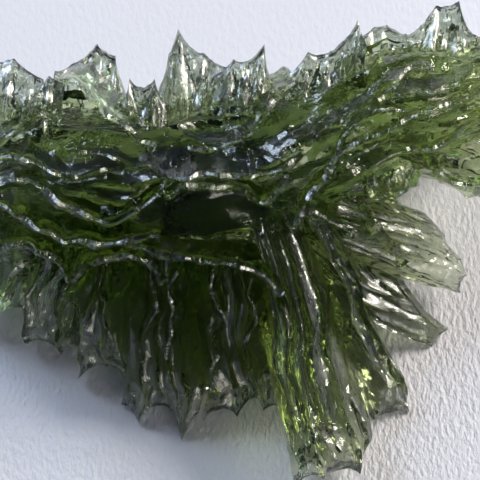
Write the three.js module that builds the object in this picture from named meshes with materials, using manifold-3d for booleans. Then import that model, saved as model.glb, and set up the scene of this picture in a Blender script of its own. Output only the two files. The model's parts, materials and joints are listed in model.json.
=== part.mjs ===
// A moldavite of the hedgehog kind: one natural piece of green glass, deeply etched.
// A bar of glass lies along X. Long cusped ridges run over it, thin pointed sails stand along its
// upper edge, and a fan of fluted fingers and a fringe of spines spread from its lower edge down to
// the surface it rests on. Everything is one solid.
//
// The forms are laid out in the stone's own frame, in millimetres: x along the stone, y across its
// broad face, z out of that face. At the end the stone is leaned back by FACE_TILT and set down.
import * as THREE from "three";
import { SimplifyModifier } from "three/addons/modifiers/SimplifyModifier.js";
import { mergeVertices } from "three/addons/utils/BufferGeometryUtils.js";
import Module from "manifold-3d";

// ---- Driving dimensions, in millimetres and degrees -------------------------------------------
const FACE_TILT = 18; // how far the broad face leans back from level
const REST_HEIGHT = 4.5; // from the stone frame's origin down to the surface it rests on
const EDGE = 0.09; // thickness left on a blade's edge
const HAIRLINE = 0.01; // between two sheets that would touch
const TRIANGLES = 9200; // before the resting surface cuts it

// ---- The bar ----------------------------------------------------------------------------------
// Stations along the bar: [x, y, z of its centre, half height in y, half depth in z].
const BAR = [
  [-18.0, 2.6, -1.4, 0.5, 0.5],
  [-16.6, 2.6, -1.2, 3.0, 2.4],
  [-13.5, 2.7, -0.9, 4.6, 3.9],
  [-9.5, 2.9, -0.8, 4.9, 4.4],
  [-5.0, 2.9, -0.7, 4.9, 4.5],
  [-0.5, 3.4, -0.7, 4.8, 4.5],
  [4.0, 5.0, -0.8, 4.6, 4.3],
  [8.0, 6.6, -1.1, 4.4, 3.9],
  [12.0, 7.9, -1.4, 3.7, 3.3],
  [15.5, 8.5, -1.7, 2.6, 2.4],
  [17.8, 8.9, -2.0, 0.5, 0.5],
];
const BAR_FLUTES = 8; // lengthwise crests round the bar
const BAR_FLUTE_DEPTH = 0.12; // share of the radius
const BAR_TWIST = 1.1; // how far the crests wind round it, in radians over its length

// ---- Blades -----------------------------------------------------------------------------------
// A blade is a sheet of glass spread between ribs, each from a root inside the stone to a tip:
// [root x, y, z, tip x, y, z]. Its other values are
//   thick  thickness at the root, in mm
//   flare  1 for flat flanks, more for hollow ones, less for full ones
//   flute  how much thinner it is half way between two ribs, as a share
//   sag    how far its edge falls back between two tips, as a share of their distance
//   body   how bluntly its thickness ends at its first and last ribs
const FINGERS = {
  right_finger: {
    thick: 6.0, flare: 0.65, flute: 0.35, sag: 0.12, body: 2.4, edge: 0.9,
    ribs: [
      [8.6, 7.0, -1.7, 15.9, 6.4, -1.0],
      [8.6, 6.0, -1.3, 16.3, 5.0, -0.8],
      [8.6, 5.0, -1.1, 15.4, 3.7, -0.7],
      [8.6, 4.0, -1.5, 15.0, 2.7, -1.1],
    ],
  },
  fan_finger: {
    thick: 5.2, flare: 0.80, flute: 0.4, sag: 0.14, body: 3, edge: 0.9,
    ribs: [
      [6.0, 3.8, -0.7, 10.6, 1.5, -0.7],
      [5.8, 2.9, -0.4, 12.2, 0.2, -1.5],
      [5.6, 2.1, -0.2, 13.3, -1.1, -2.1],
      [5.4, 1.3, -0.1, 13.6, -2.1, -2.5],
      [5.3, 0.5, -0.3, 13.1, -3.3, -2.7],
      [5.3, -0.3, -0.7, 11.3, -2.9, -2.3],
    ],
  },
  blunt_finger: {
    thick: 5.6, flare: 0.60, flute: 0.35, sag: 0.12, body: 2.4, edge: 0.9,
    ribs: [
      [5.4, 0.6, -1.3, 9.8, -2.4, -1.0],
      [5.0, -0.4, -1.1, 10.8, -4.0, -1.8],
      [4.8, -1.3, -1.0, 12.0, -5.5, -2.5],
      [4.7, -2.1, -1.2, 11.3, -6.5, -2.5],
      [4.6, -2.9, -1.7, 9.4, -5.6, -2.2],
    ],
  },
  low_finger: {
    thick: 6.4, flare: 0.70, flute: 0.35, sag: 0.13, body: 2.6, edge: 0.9,
    ribs: [
      [5.0, 2.4, -0.7, 9.5, -8.5, -1.0],
      [4.2, 2.2, -0.2, 10.2, -10.3, -1.35],
      [3.3, 1.9, 0.0, 9.1, -10.2, -0.9],
      [2.5, 1.4, -0.2, 8.0, -10.6, -0.7],
    ],
  },
  great_finger: {
    thick: 6.4, flare: 0.60, flute: 0.4, sag: 0.12, body: 2.8, edge: 0.9,
    ribs: [
      [3.9, 1.9, -0.3, 7.7, -11.8, 1.0],
      [3.2, 1.7, 0.1, 7.2, -13.7, 1.6],
      [2.6, 1.5, 0.3, 5.9, -13.4, 2.2],
      [2.0, 1.3, 0.4, 4.9, -13.9, 2.5],
      [1.4, 1.1, 0.4, 4.0, -13.6, 2.5],
      [0.9, 0.9, 0.3, 3.3, -14.1, 2.3],
      [0.5, 0.6, 0.0, 2.4, -11.2, 1.4],
    ],
  },
};

const FRINGE = {
  middle_fringe: {
    thick: 6.4, flare: 0.60, flute: 0.4, sag: 0.2, body: 4, edge: 0.3,
    ribs: [
      [0.8, -0.3, 1.1, 2.2, -10.0, 0.2],
      [0.1, -0.3, 1.3, 1.3, -10.3, -0.1],
      [-0.6, -0.3, 1.3, 0.6, -9.5, -0.2],
      [-1.2, -0.3, 1.3, -0.1, -10.7, -0.4],
      [-1.8, -0.3, 1.2, -1.4, -10.4, -0.5],
      [-2.5, -0.3, 1.1, -2.1, -10.9, -0.7],
    ],
  },
  long_fringe: {
    thick: 6.6, flare: 0.60, flute: 0.4, sag: 0.2, body: 4, edge: 0.3,
    ribs: [
      [-2.2, -0.3, 1.0, -2.4, -10.3, -0.8],
      [-3.0, -0.3, 1.0, -3.4, -12.0, -1.0],
      [-3.8, -0.3, 1.0, -4.1, -9.9, -0.8],
      [-4.6, -0.3, 1.0, -4.9, -9.7, -0.8],
      [-5.4, -0.3, 0.9, -6.0, -10.9, -1.0],
      [-6.2, -0.3, 0.7, -7.1, -9.8, -1.1],
    ],
  },
  leaf_fringe: {
    thick: 6.2, flare: 0.60, flute: 0.35, sag: 0.22, body: 3, edge: 0.3,
    ribs: [
      [-6.2, 0.0, 0.6, -7.2, -8.2, -1.2],
      [-7.0, 0.0, 0.5, -8.3, -7.7, -1.3],
      [-7.8, 0.0, 0.4, -9.9, -8.6, -1.2],
      [-8.7, 0.0, 0.2, -10.3, -6.4, -1.2],
    ],
  },
  left_fringe: {
    thick: 5.8, flare: 0.60, flute: 0.35, sag: 0.2, body: 3, edge: 0.3,
    ribs: [
      [-8.4, 0.2, 0.2, -10.3, -6.5, -1.4],
      [-9.2, 0.2, 0.2, -11.1, -6.9, -1.5],
      [-10.2, 0.2, 0.2, -12.2, -5.9, -1.7],
      [-11.0, 0.2, 0.0, -13.1, -6.1, -1.8],
      [-11.8, 0.4, -0.2, -12.8, -4.4, -1.8],
    ],
  },
  end_fringe: {
    thick: 5.8, flare: 0.60, flute: 0.3, sag: 0.15, body: 3, edge: 0.3,
    ribs: [
      [-11.6, 0.8, -0.6, -12.7, -4.0, -1.4],
      [-13.0, 0.8, -0.6, -14.4, -4.2, -1.5],
      [-14.4, 1.0, -0.8, -16.2, -4.3, -1.7],
      [-15.6, 1.2, -1.2, -18.0, -2.6, -1.9],
    ],
  },
};

const SAILS = {
  left_lobe: {
    thick: 3.4, flare: 0.8, flute: 0.3, sag: 0.03, body: 3, edge: 0.5,
    ribs: [
      [-17.0, 4.6, -1.4, -18.2, 7.6, -1.4],
      [-15.8, 5.2, -0.8, -15.9, 10.4, -0.9],
      [-14.2, 5.4, -0.4, -13.7, 10.9, -0.6],
      [-12.6, 5.4, -0.3, -11.9, 9.4, -0.3],
    ],
  },
  green_lobe: {
    thick: 2.6, flare: 0.8, flute: 0.3, sag: 0.1, body: 3, edge: 0.3,
    ribs: [
      [-13.0, 5.0, 1.0, -12.6, 7.9, 1.6],
      [-12.0, 5.2, 1.1, -11.6, 9.4, 1.2],
      [-10.8, 5.4, 1.0, -10.6, 9.1, 1.3],
    ],
  },
  rear_sail: {
    thick: 3.6, flare: 0.8, flute: 0.4, sag: 0.14, body: 3,
    ribs: [
      [-11.4, 5.6, -2.6, -11.0, 10.2, -2.8],
      [-10.2, 5.6, -2.7, -9.9, 10.6, -3.2],
      [-8.7, 5.8, -2.7, -8.5, 11.6, -3.6],
      [-7.4, 5.8, -2.6, -7.3, 10.8, -3.4],
      [-6.4, 5.8, -2.4, -6.8, 9.0, -2.8],
    ],
  },
  twin_sail: {
    thick: 3.6, flare: 0.8, flute: 0.45, sag: 0.34, body: 3,
    ribs: [
      [-7.4, 5.4, 0.0, -7.2, 8.4, -0.2],
      [-6.5, 5.6, 0.4, -6.7, 9.6, 0.0],
      [-5.2, 5.6, 0.5, -5.2, 9.8, 0.3],
      [-4.2, 5.6, 0.2, -4.3, 8.4, 0.2],
    ],
  },
  tall_sail: {
    thick: 3.4, flare: 0.8, flute: 0.4, sag: 0.12, body: 3,
    ribs: [
      [-5.0, 6.0, -1.0, -4.8, 9.4, -1.2],
      [-4.3, 6.1, -1.0, -4.4, 11.2, -1.4],
      [-3.4, 6.2, -1.0, -3.85, 12.8, -1.7],
      [-2.2, 6.2, -0.9, -2.2, 11.2, -1.4],
      [-1.0, 6.3, -0.8, -0.9, 10.0, -1.0],
    ],
  },
  leaf_sail: {
    thick: 3.4, flare: 0.8, flute: 0.4, sag: 0.12, body: 3,
    ribs: [
      [-1.9, 6.2, -0.2, -1.6, 9.5, -0.4],
      [-0.8, 6.3, 0.0, -0.5, 10.5, -0.3],
      [0.3, 6.4, 0.1, 0.4, 10.5, 0.0],
      [1.1, 6.6, 0.1, 1.2, 11.5, 0.1],
      [1.9, 6.8, 0.1, 1.8, 9.4, 0.3],
    ],
  },
  fluted_hump: {
    thick: 3.4, flare: 0.9, flute: 0.5, sag: 0.12, body: 4,
    ribs: [
      [2.4, 6.8, 0.0, 2.7, 9.8, 0.4],
      [3.5, 7.2, 0.1, 3.8, 11.4, 0.3],
      [4.6, 7.8, 0.0, 5.0, 11.4, -0.1],
      [5.6, 8.2, -0.2, 5.9, 12.0, -0.4],
      [6.5, 8.6, -0.4, 6.8, 13.1, -0.8],
      [7.3, 8.8, -0.6, 7.4, 11.6, -0.6],
    ],
  },
  pale_bowl: {
    thick: 2.6, flare: 0.9, flute: 0.2, sag: 0.06, body: 3,
    ribs: [
      [7.0, 9.0, -1.4, 7.3, 12.2, -1.5],
      [8.0, 9.2, -1.6, 8.0, 12.7, -1.9],
      [9.0, 9.4, -1.6, 8.8, 12.8, -2.0],
      [10.2, 9.6, -1.6, 10.1, 12.2, -1.8],
    ],
  },
  twin_spike: {
    thick: 2.8, flare: 1.0, flute: 0.4, sag: 0.16, body: 4,
    ribs: [
      [9.6, 9.2, -1.4, 9.9, 12.1, -1.4],
      [11.2, 9.6, -1.4, 11.6, 13.8, -1.8],
      [12.6, 9.9, -1.5, 13.0, 14.1, -2.0],
      [14.0, 10.0, -1.6, 14.1, 12.4, -1.7],
      [15.4, 9.8, -1.8, 15.9, 12.6, -2.0],
      [16.6, 9.6, -1.9, 18.0, 10.9, -2.2],
    ],
  },
  end_spine: {
    thick: 3.0, flare: 0.9, flute: 0.4, sag: 0.18, body: 2.6,
    ribs: [
      [14.4, 10.0, -1.4, 17.2, 10.6, -1.6],
      [14.4, 9.0, -1.2, 18.9, 9.2, -1.8],
      [14.2, 7.8, -1.4, 17.4, 7.4, -1.6],
    ],
  },
};

// A ridge is a blade given by its crest line [x, y, z] and one offset from the crest to its root.
const RIDGES = {
  upper_left_comb: {
    thick: 1.8, root: [0.2, 1.0, -2.6],
    crest: [[-16.6, 5.2, 1.2], [-14.4, 5.6, 2.5], [-13.0, 6.4, 2.7], [-12.0, 7.0, 2.5], [-11.0, 6.6, 1.8]],
  },
  left_upper_crest: {
    thick: 2.0, root: [0, 1.1, -2.7],
    crest: [[-17.2, 4.0, 1.6], [-14.6, 4.6, 3.2], [-12.8, 4.3, 3.7], [-11.2, 3.75, 4.0], [-9.8, 3.7, 4.0],
      [-8.3, 4.2, 3.9], [-6.9, 4.3, 3.5]],
  },
  hollow_crest: {
    thick: 1.8, root: [0.5, 0.7, -2.8],
    crest: [[-10.9, 9.2, 0.2], [-9.7, 8.9, 0.9], [-8.8, 8.2, 1.5], [-8.0, 7.4, 2.0], [-6.9, 6.9, 2.3],
      [-6.0, 6.1, 2.6], [-5.2, 5.4, 2.8]],
  },
  band_crest: {
    thick: 2.2, root: [0, 1.1, -2.8],
    crest: [[-9.6, 5.0, 2.9], [-7.6, 4.8, 3.5], [-5.9, 4.1, 4.1], [-4.6, 3.5, 4.5], [-3.0, 3.4, 4.7],
      [-1.2, 3.6, 4.7], [0.6, 3.8, 4.6], [2.4, 4.2, 4.3], [3.6, 5.0, 3.8]],
  },
  band_lip: {
    thick: 1.8, root: [0, 0.8, -2.6],
    crest: [[-4.9, 3.0, 4.2], [-4.2, 2.2, 4.7], [-3.2, 3.0, 4.9], [-1.4, 2.9, 4.9], [0.2, 3.1, 4.8],
      [1.4, 2.4, 4.8], [2.4, 3.1, 4.5], [2.9, 4.0, 4.0]],
  },
  bowl_rim: {
    thick: 1.9, root: [0, 0.4, -2.8],
    crest: [[-5.0, 6.2, 2.2], [-4.2, 5.4, 2.8], [-2.8, 5.1, 3.2], [-1.4, 5.2, 3.3], [-0.2, 5.8, 3.2],
      [0.8, 6.7, 3.0], [1.5, 7.8, 2.5], [2.2, 8.8, 1.8], [3.0, 9.8, 1.0]],
  },
  upper_right_crest: {
    thick: 2.0, root: [-0.3, 0.9, -2.8],
    crest: [[0.6, 4.8, 3.7], [2.6, 5.1, 3.9], [4.2, 5.9, 3.7], [5.8, 6.8, 3.4], [7.4, 7.9, 3.0],
      [9.0, 9.1, 2.4], [11.2, 10.2, 1.4]],
  },
  window_rim: {
    thick: 2.0, root: [0, 0.9, -2.8],
    crest: [[-13.2, 3.1, 3.9], [-12.0, 3.0, 4.4], [-10.9, 2.1, 4.8], [-9.2, 1.5, 5.0], [-7.5, 1.1, 5.2],
      [-6.0, 1.4, 5.1], [-4.9, 2.5, 4.8], [-4.3, 3.4, 4.4]],
  },
  low_crest: {
    thick: 2.1, root: [0, 1.0, -2.9],
    crest: [[-17.4, 2.2, 1.6], [-15.0, 1.6, 3.8], [-13.2, 1.4, 4.6], [-11.8, 0.5, 4.9], [-10.0, 0.0, 5.1],
      [-8.2, -0.15, 5.2], [-6.4, -0.25, 5.2], [-4.4, -0.3, 4.9]],
  },
  belly_crest: {
    thick: 2.2, root: [0, 0.9, -3.0],
    crest: [[-6.2, -0.5, 4.6], [-4.6, -1.0, 4.8], [-3.0, -1.4, 4.9], [-1.4, -1.4, 5.0], [0.2, -1.5, 4.9],
      [1.4, -2.1, 4.6], [2.4, -3.1, 4.2]],
  },
  corner_crest: {
    thick: 2.0, root: [0, 1.0, -2.8],
    crest: [[-17.0, -0.4, 1.2], [-15.0, -0.9, 3.0], [-13.4, -0.6, 3.9], [-12.0, -0.7, 4.2],
      [-10.8, -1.2, 4.0], [-10.2, -2.4, 3.2]],
  },
  brow_crest: {
    thick: 1.9, root: [0, 1.1, -2.8],
    crest: [[-10.2, -2.6, 2.8], [-9.2, -1.5, 3.9], [-7.8, -1.1, 4.4], [-6.4, -1.1, 4.5], [-5.2, -1.8, 4.1],
      [-4.6, -2.8, 3.4]],
  },
  trunk_comb: {
    thick: 2.0, root: [0.3, 0.6, -2.8],
    crest: [[3.7, 0.6, 3.8], [4.1, 2.2, 4.2], [4.9, 3.4, 4.3], [5.7, 4.7, 4.2], [7.0, 5.3, 4.0],
      [8.2, 5.8, 3.7], [9.6, 6.4, 3.0]],
  },
  cross_crest: {
    thick: 1.7, root: [0.2, 0.8, -2.6],
    crest: [[5.7, 5.1, 3.6], [6.2, 6.0, 3.7], [7.2, 6.9, 3.5], [8.4, 7.3, 3.2], [9.6, 7.4, 2.9]],
  },
  right_crest: {
    thick: 1.9, root: [0, 0.9, -2.8],
    crest: [[8.0, 7.9, 2.6], [9.6, 8.4, 2.8], [11.2, 8.9, 2.5], [12.8, 9.5, 2.1], [14.4, 10.7, 1.2],
      [16.0, 11.2, 0.0]],
  },
  right_low_crest: {
    thick: 1.9, root: [0, 0.9, -2.8],
    crest: [[9.4, 6.9, 2.9], [11.2, 7.7, 2.8], [13.0, 8.2, 2.5], [14.8, 9.1, 1.7], [17.0, 9.6, 0.0]],
  },
  right_belly_crest: {
    thick: 2.0, root: [0, 0.9, -2.8],
    crest: [[8.4, 5.0, 3.0], [9.8, 5.3, 3.1], [11.4, 5.6, 2.8], [13.0, 6.5, 2.4], [15.0, 7.3, 1.4],
      [16.8, 7.8, 0.2]],
  },
  knob_crest: {
    thick: 1.6, root: [-0.4, 0.6, -2.4],
    crest: [[8.0, 3.6, 2.6], [8.6, 2.5, 2.9], [9.5, 2.2, 2.9], [10.3, 2.9, 2.6], [10.8, 4.2, 2.2]],
  },
  finger_crest: {
    thick: 1.6, root: [-0.5, 0.2, -2.2],
    crest: [[10.9, 5.6, 2.2], [11.9, 4.8, 2.2], [12.8, 3.8, 1.9], [14.2, 3.3, 1.2], [15.4, 3.2, 0.4]],
  },
  fan_comb: {
    thick: 1.4, root: [0.3, 0.5, -2.4],
    crest: [[6.9, 1.6, 2.6], [7.9, 0.2, 2.2], [8.9, -0.9, 1.6], [9.7, -1.8, 0.8]],
  },
  fan_rim: {
    thick: 1.5, root: [0.3, 0.7, -2.4],
    crest: [[4.4, 1.5, 3.4], [5.4, 0.9, 3.0], [6.5, 0.1, 2.5], [7.8, -0.2, 2.0], [9.0, -0.6, 1.2]],
  },
};

// Ribs run down the fan from the belly crest to the fringe.
const FAN_RIBS = {
  first_rib: [[-9.9, -1.2, 3.0], [-10.4, -3.0, 2.4], [-10.8, -4.8, 1.0], [-10.9, -6.2, -0.4]],
  second_rib: [[-8.3, -1.6, 3.4], [-8.4, -3.4, 3.0], [-7.9, -5.2, 1.9], [-7.8, -7.0, 0.4]],
  third_rib: [
    [-5.6, -2.0, 3.9], [-5.4, -4.0, 3.5], [-5.9, -6.2, 2.3], [-6.1, -8.6, 0.8], [-6.0, -10.0, -0.3],
  ],
  fourth_rib: [
    [-3.6, -2.0, 4.2], [-4.2, -4.0, 3.9], [-4.1, -6.0, 3.0], [-4.4, -8.0, 1.6], [-4.3, -9.4, 0.3],
  ],
  fifth_rib: [
    [-1.9, -2.1, 4.3], [-1.4, -4.2, 4.1], [-1.2, -6.2, 3.3], [-1.7, -8.2, 2.0], [-1.9, -9.9, 0.5],
  ],
  sixth_rib: [[0.2, -2.2, 4.2], [0.9, -4.4, 3.9], [0.6, -6.2, 3.2], [0.3, -8.0, 2.0], [0.7, -9.2, 0.9]],
};
const FAN_RIB = { thick: 1.7, root: [0.3, 0.5, -2.6] };

// The thick root of the fringe, an ellipsoid as the scoops are.
const APRON = [-3.4, -4.2, -1.4, 6.6, 4.6, 2.0, -12];

// The underside has rows of shorter ridges along the bar, staggered from row to row. Places along the
// bar are counted in its stations.
const UNDER_ROWS = 5;
const UNDER_SPREAD = 0.88; // how far the outer rows lie from the middle, as a share of the half height
const UNDER_RIDGES = 3; // in a row
const UNDER_STATIONS = 4; // along a ridge
const UNDER_START = 0.9;
const UNDER_PITCH = 2.75; // from ridge to ridge
const UNDER_STEP = 0.8; // from station to station
const UNDER_STAGGER = 0.6;
const UNDER_HEIGHT = 1.5; // of a crest over the bar, unless the resting surface is nearer
const UNDER_CREST = { thick: 2.2, root: [0, 0.4, 3.2] };
const FOOT = [-1.2, 2.2, -4.6, 3.4, 2.2, 1.9, 4]; // the lump that carries most of the weight, as a scoop's

// Scoops are ellipsoids etched out of the bar and fingers: [x, y, z, half sizes in x, y, z, turn].
const SCOOPS = {
  sail_bowl: [-1.7, 7.2, 4.0, 3.1, 1.7, 2.9, 0],
  dark_hollow: [-9.3, 7.7, 3.0, 1.7, 1.1, 3.0, -20],
  band_scoop: [-9.6, 5.9, 5.0, 3.6, 0.9, 2.4, -6],
  left_window: [-8.0, 2.9, 6.2, 3.4, 1.1, 2.9, -6],
  low_window: [-7.6, 0.5, 6.6, 4.2, 0.7, 2.6, -4],
  great_window: [0.4, 0.9, 7.4, 4.6, 2.0, 4.2, 3],
  trunk_window: [6.9, 3.1, 6.0, 1.7, 1.5, 3.0, 30],
  cross_window: [7.4, 6.2, 5.4, 1.1, 0.6, 2.4, 20],
  slope_scoop: [4.2, 7.6, 5.2, 2.8, 1.2, 3.2, 36],
  right_window: [11.0, 7.5, 4.6, 2.6, 0.7, 2.6, 24],
  right_scoop: [10.9, 4.3, 4.4, 1.3, 1.1, 2.6, 10],
  end_window: [-14.2, 3.0, 5.6, 2.0, 1.0, 2.8, -4],
  corner_window: [-12.7, -2.4, 5.2, 1.9, 1.2, 2.6, -10],
  lens_bowl: [8.5, 11.8, -0.3, 1.2, 0.8, 1.2, 8],
};

// ---- Fineness of the forms before they are joined -----------------------------------------------
const BAR_TURNS = 40;
const BAR_STEPS = 36;
const BLADE_ROWS = [0, 0.3, 0.6, 0.82, 1]; // places on a flank, from root to tip
const RIB_STEPS = 6; // from rib to rib
const LUMP_TURNS = 24;
const LUMP_RINGS = 12;


// ---- Curves ---------------------------------------------------------------------------------------
const at = (p) => new THREE.Vector3(p[0], p[1], p[2]);
const mix = (a, b, t) => a.clone().lerp(b, t);

// A point on the smooth curve through points, at place t counted in points (Catmull-Rom).
function along(points, t) {
  const last = points.length - 1;
  const i = Math.min(Math.floor(t), last - 1);
  const s = t - i;
  const p1 = points[i];
  const p2 = points[i + 1];
  const p0 = i > 0 ? points[i - 1] : mix(p2, p1, 2);
  const p3 = i + 2 <= last ? points[i + 2] : mix(p1, p2, 2);
  return new THREE.Vector3()
    .addScaledVector(p0, 0.5 * (-s + 2 * s ** 2 - s ** 3))
    .addScaledVector(p1, 0.5 * (2 - 5 * s ** 2 + 3 * s ** 3))
    .addScaledVector(p2, 0.5 * (s + 4 * s ** 2 - 3 * s ** 3))
    .addScaledVector(p3, 0.5 * (s ** 3 - s ** 2));
}

// The stone's slow irregularity: every point is moved by waves that run across the other directions.
const WAVES = [[0.22, 0.62, 0.9], [0.1, 1.45, 2.3]]; // [size in mm, radians per mm, phase]
function warped(p) {
  const q = p.clone();
  for (const [size, rate, phase] of WAVES) {
    q.x += size * Math.sin(rate * p.y + 1.3 * rate * p.z + phase);
    q.y += size * Math.sin(rate * p.x + 0.8 * rate * p.z + 2 * phase);
    q.z += size * Math.sin(0.9 * rate * p.x + rate * p.y + 3 * phase);
  }
  return q;
}

// ---- Solids ---------------------------------------------------------------------------------------
const wasm = await Module();
wasm.setup();

function solidOf(geometry) {
  const bare = new THREE.BufferGeometry().setAttribute("position", geometry.getAttribute("position"));
  const merged = mergeVertices(bare.setIndex(geometry.index), 1e-4);
  const vertProperties = new Float32Array(merged.attributes.position.array);
  const triVerts = new Uint32Array(merged.index.array);
  return new wasm.Manifold(new wasm.Mesh({ numProp: 3, vertProperties, triVerts }));
}

function geometryOf(solid) {
  const made = solid.getMesh();
  const geometry = new THREE.BufferGeometry();
  geometry.setAttribute("position", new THREE.BufferAttribute(made.vertProperties, 3));
  return geometry.setIndex(new THREE.BufferAttribute(made.triVerts, 1));
}

// Triangles over a first ring of points. On a long thin ring they are a ladder between its two sides.
// On a round one they are a fan about the point whose number is middle.
function ladder(per) {
  const faces = [];
  for (let j = 0; j < per / 2 - 1; j++) {
    faces.push([j + 1, j, per - 1 - j], [per - 1 - j, per - 2 - j, j + 1]);
  }
  return faces;
}

function fan(per, middle) {
  return Array.from({ length: per }, (_, j) => [middle, (j + 1) % per, j]);
}

// A closed skin over rings of points, rings[i][j]. Each ring has an even number of points.
function skin(rings, thin) {
  const per = rings[0].length;
  const points = rings.flat();
  const faces = [];
  for (let i = 0; i + 1 < rings.length; i++) {
    for (let j = 0; j < per; j++) {
      const a = i * per + j;
      const b = i * per + ((j + 1) % per);
      faces.push(a, b, a + per, b, b + per, a + per);
    }
  }
  const end = (rings.length - 1) * per;
  const middle = (ring) => ring.reduce((sum, p) => sum.add(p), new THREE.Vector3()).divideScalar(per);
  if (thin) {
    faces.push(...ladder(per).flat(), ...ladder(per).flatMap(([a, b, c]) => [end + c, end + b, end + a]));
  } else {
    points.push(middle(rings[0]), middle(rings[rings.length - 1]));
    const last = points.length - 1;
    faces.push(...fan(per, last - 1).flat());
    faces.push(...fan(per, last).flatMap(([m, b, a]) => [m, end + a, end + b]));
  }
  const geometry = new THREE.BufferGeometry().setFromPoints(points.map(warped));
  const solid = solidOf(geometry.setIndex(faces));
  return solid.volume() > 0 ? solid : solidOf(geometry.setIndex(faces.reverse()));
}

const BAR_CENTRES = BAR.map((station) => at(station));
const BAR_REACHES = BAR.map((station) => new THREE.Vector3(0, station[3], station[4]));

// The bar: an ellipse along the stations, hollowed between crests that run the length of it.
function bar() {
  const rings = [];
  for (let i = 0; i <= BAR_STEPS; i++) {
    const t = (i / BAR_STEPS) * (BAR.length - 1);
    const reach = along(BAR_REACHES, t);
    const ring = [];
    for (let j = 0; j < BAR_TURNS; j++) {
      const angle = (j / BAR_TURNS) * 2 * Math.PI;
      const wind = (BAR_TWIST * i) / BAR_STEPS;
      const share = 1 - BAR_FLUTE_DEPTH * Math.abs(Math.sin((BAR_FLUTES * angle) / 2 + wind));
      const out = new THREE.Vector3(0, reach.y * Math.cos(angle), reach.z * Math.sin(angle));
      ring.push(along(BAR_CENTRES, t).addScaledVector(out, share));
    }
    rings.push(ring);
  }
  return skin(rings, false);
}

const BESIDE = 0.5; // ribs to either side over which a blade's direction is taken

// Which way a blade's flank faces at place t: the way along it crossed with the way up it.
function facing(roots, tips, t) {
  const before = Math.max(t - BESIDE, 0);
  const after = Math.min(t + BESIDE, roots.length - 1);
  const onward = (points) => along(points, after).sub(along(points, before));
  const up = along(tips, t).sub(along(roots, t));
  return onward(roots).add(onward(tips)).cross(up).normalize();
}

// A blade as the head of the tables says. flow is 0 on a flat sheet whose edge runs straight from tip
// to tip, and 1 on one that bends smoothly through them.
function blade({ ribs, thick, flare, flute, sag, body, edge = EDGE, flow = 0 }) {
  const roots = ribs.map((r) => at(r));
  const tips = ribs.map((r) => at(r.slice(3)));
  const cells = ribs.length - 1;
  const steps = cells * RIB_STEPS;
  const level = roots.reduce((sum, _, i) => sum.add(facing(roots, tips, i)), at([0, 0, 0])).normalize();
  const rings = [];
  for (let i = 0; i <= steps; i++) {
    const t = (i / steps) * cells;
    const cell = Math.min(Math.floor(t), cells - 1);
    const arc = 1 - Math.abs(2 * (t - cell) - 1) ** 2.2; // 0 at a tip, 1 half way to the next
    const root = along(roots, t);
    const tip = mix(mix(tips[cell], tips[cell + 1], t - cell), along(tips, t), flow);
    const inward = root.clone().sub(tip).normalize();
    tip.addScaledVector(inward, sag * tips[cell].distanceTo(tips[cell + 1]) * arc);
    const normal = mix(level, facing(roots, tips, t), flow).normalize();
    const end = Math.max(1 - Math.abs((2 * i) / steps - 1) ** body, 0) ** 0.5; // 0 at both ends
    const flank = (v, side) => {
      const half = 0.5 * thick * (1 - v) ** flare * (1 - flute * arc) * end + 0.5 * edge;
      return mix(root, tip, v).addScaledVector(normal, side * half);
    };
    rings.push([...BLADE_ROWS.map((v) => flank(v, 1)), ...BLADE_ROWS.map((v) => flank(v, -1)).reverse()]);
  }
  return skin(rings, true);
}

// A ridge is a blade whose ribs all point the same way.
function ridge({ crest, root, ...rest }) {
  const ribs = crest.map((c) => [c[0] + root[0], c[1] + root[1], c[2] + root[2], ...c]);
  return blade({ ribs, sag: 0.14, flute: 0.35, flare: 1.25, body: 6, flow: 1, ...rest });
}

// How far behind the stone frame's origin the resting surface lies, at a height y on the broad face.
const tilt = THREE.MathUtils.degToRad(FACE_TILT);
const restDepth = (y) => (REST_HEIGHT + y * Math.sin(tilt)) / Math.cos(tilt);

// One ridge of the underside, which stops at the resting surface or a little short of it.
function underRidge(row, place) {
  const lane = UNDER_SPREAD * ((2 * row) / (UNDER_ROWS - 1) - 1);
  const crest = [];
  for (let i = 0; i < UNDER_STATIONS; i++) {
    const t = UNDER_START + UNDER_PITCH * place + UNDER_STEP * i + UNDER_STAGGER * (row % 2);
    const centre = along(BAR_CENTRES, t);
    const reach = along(BAR_REACHES, t);
    const y = centre.y + lane * reach.y + 0.5 * Math.sin(1.7 * i + row + 2 * place);
    const height = UNDER_HEIGHT + 0.4 * Math.sin(2.3 * i + 1.9 * row + place);
    const z = centre.z - reach.z * Math.sqrt(1 - lane * lane) - height;
    crest.push([centre.x, y, Math.max(z, 0.2 * Math.sin(3 * i + row) - restDepth(y))]);
  }
  return ridge({ crest, ...UNDER_CREST });
}

function underRidges() {
  const made = [];
  for (let row = 0; row < UNDER_ROWS; row++) {
    for (let place = 0; place < UNDER_RIDGES; place++) made.push(underRidge(row, place));
  }
  return made;
}

function lump([x, y, z, rx, ry, rz, turn]) {
  const ball = new THREE.SphereGeometry(1, LUMP_TURNS, LUMP_RINGS);
  ball.scale(rx, ry, rz);
  ball.rotateZ(THREE.MathUtils.degToRad(turn));
  return solidOf(ball.translate(x, y, z));
}

// ---- The stone ------------------------------------------------------------------------------------
const union = (solids) => solids.reduce((sum, solid) => sum.add(solid));
const largest = (solid) => solid.decompose().sort((a, b) => b.volume() - a.volume())[0];

// The lean from the stone's own frame to the way it rests, and what is below the resting surface.
const lean = new THREE.Matrix4().makeTranslation(0, 0, REST_HEIGHT);
lean.multiply(new THREE.Matrix4().makeRotationX(tilt));
const below = new THREE.BoxGeometry(100, 100, 20).translate(0, 0, -10).applyMatrix4(lean.clone().invert());

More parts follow.
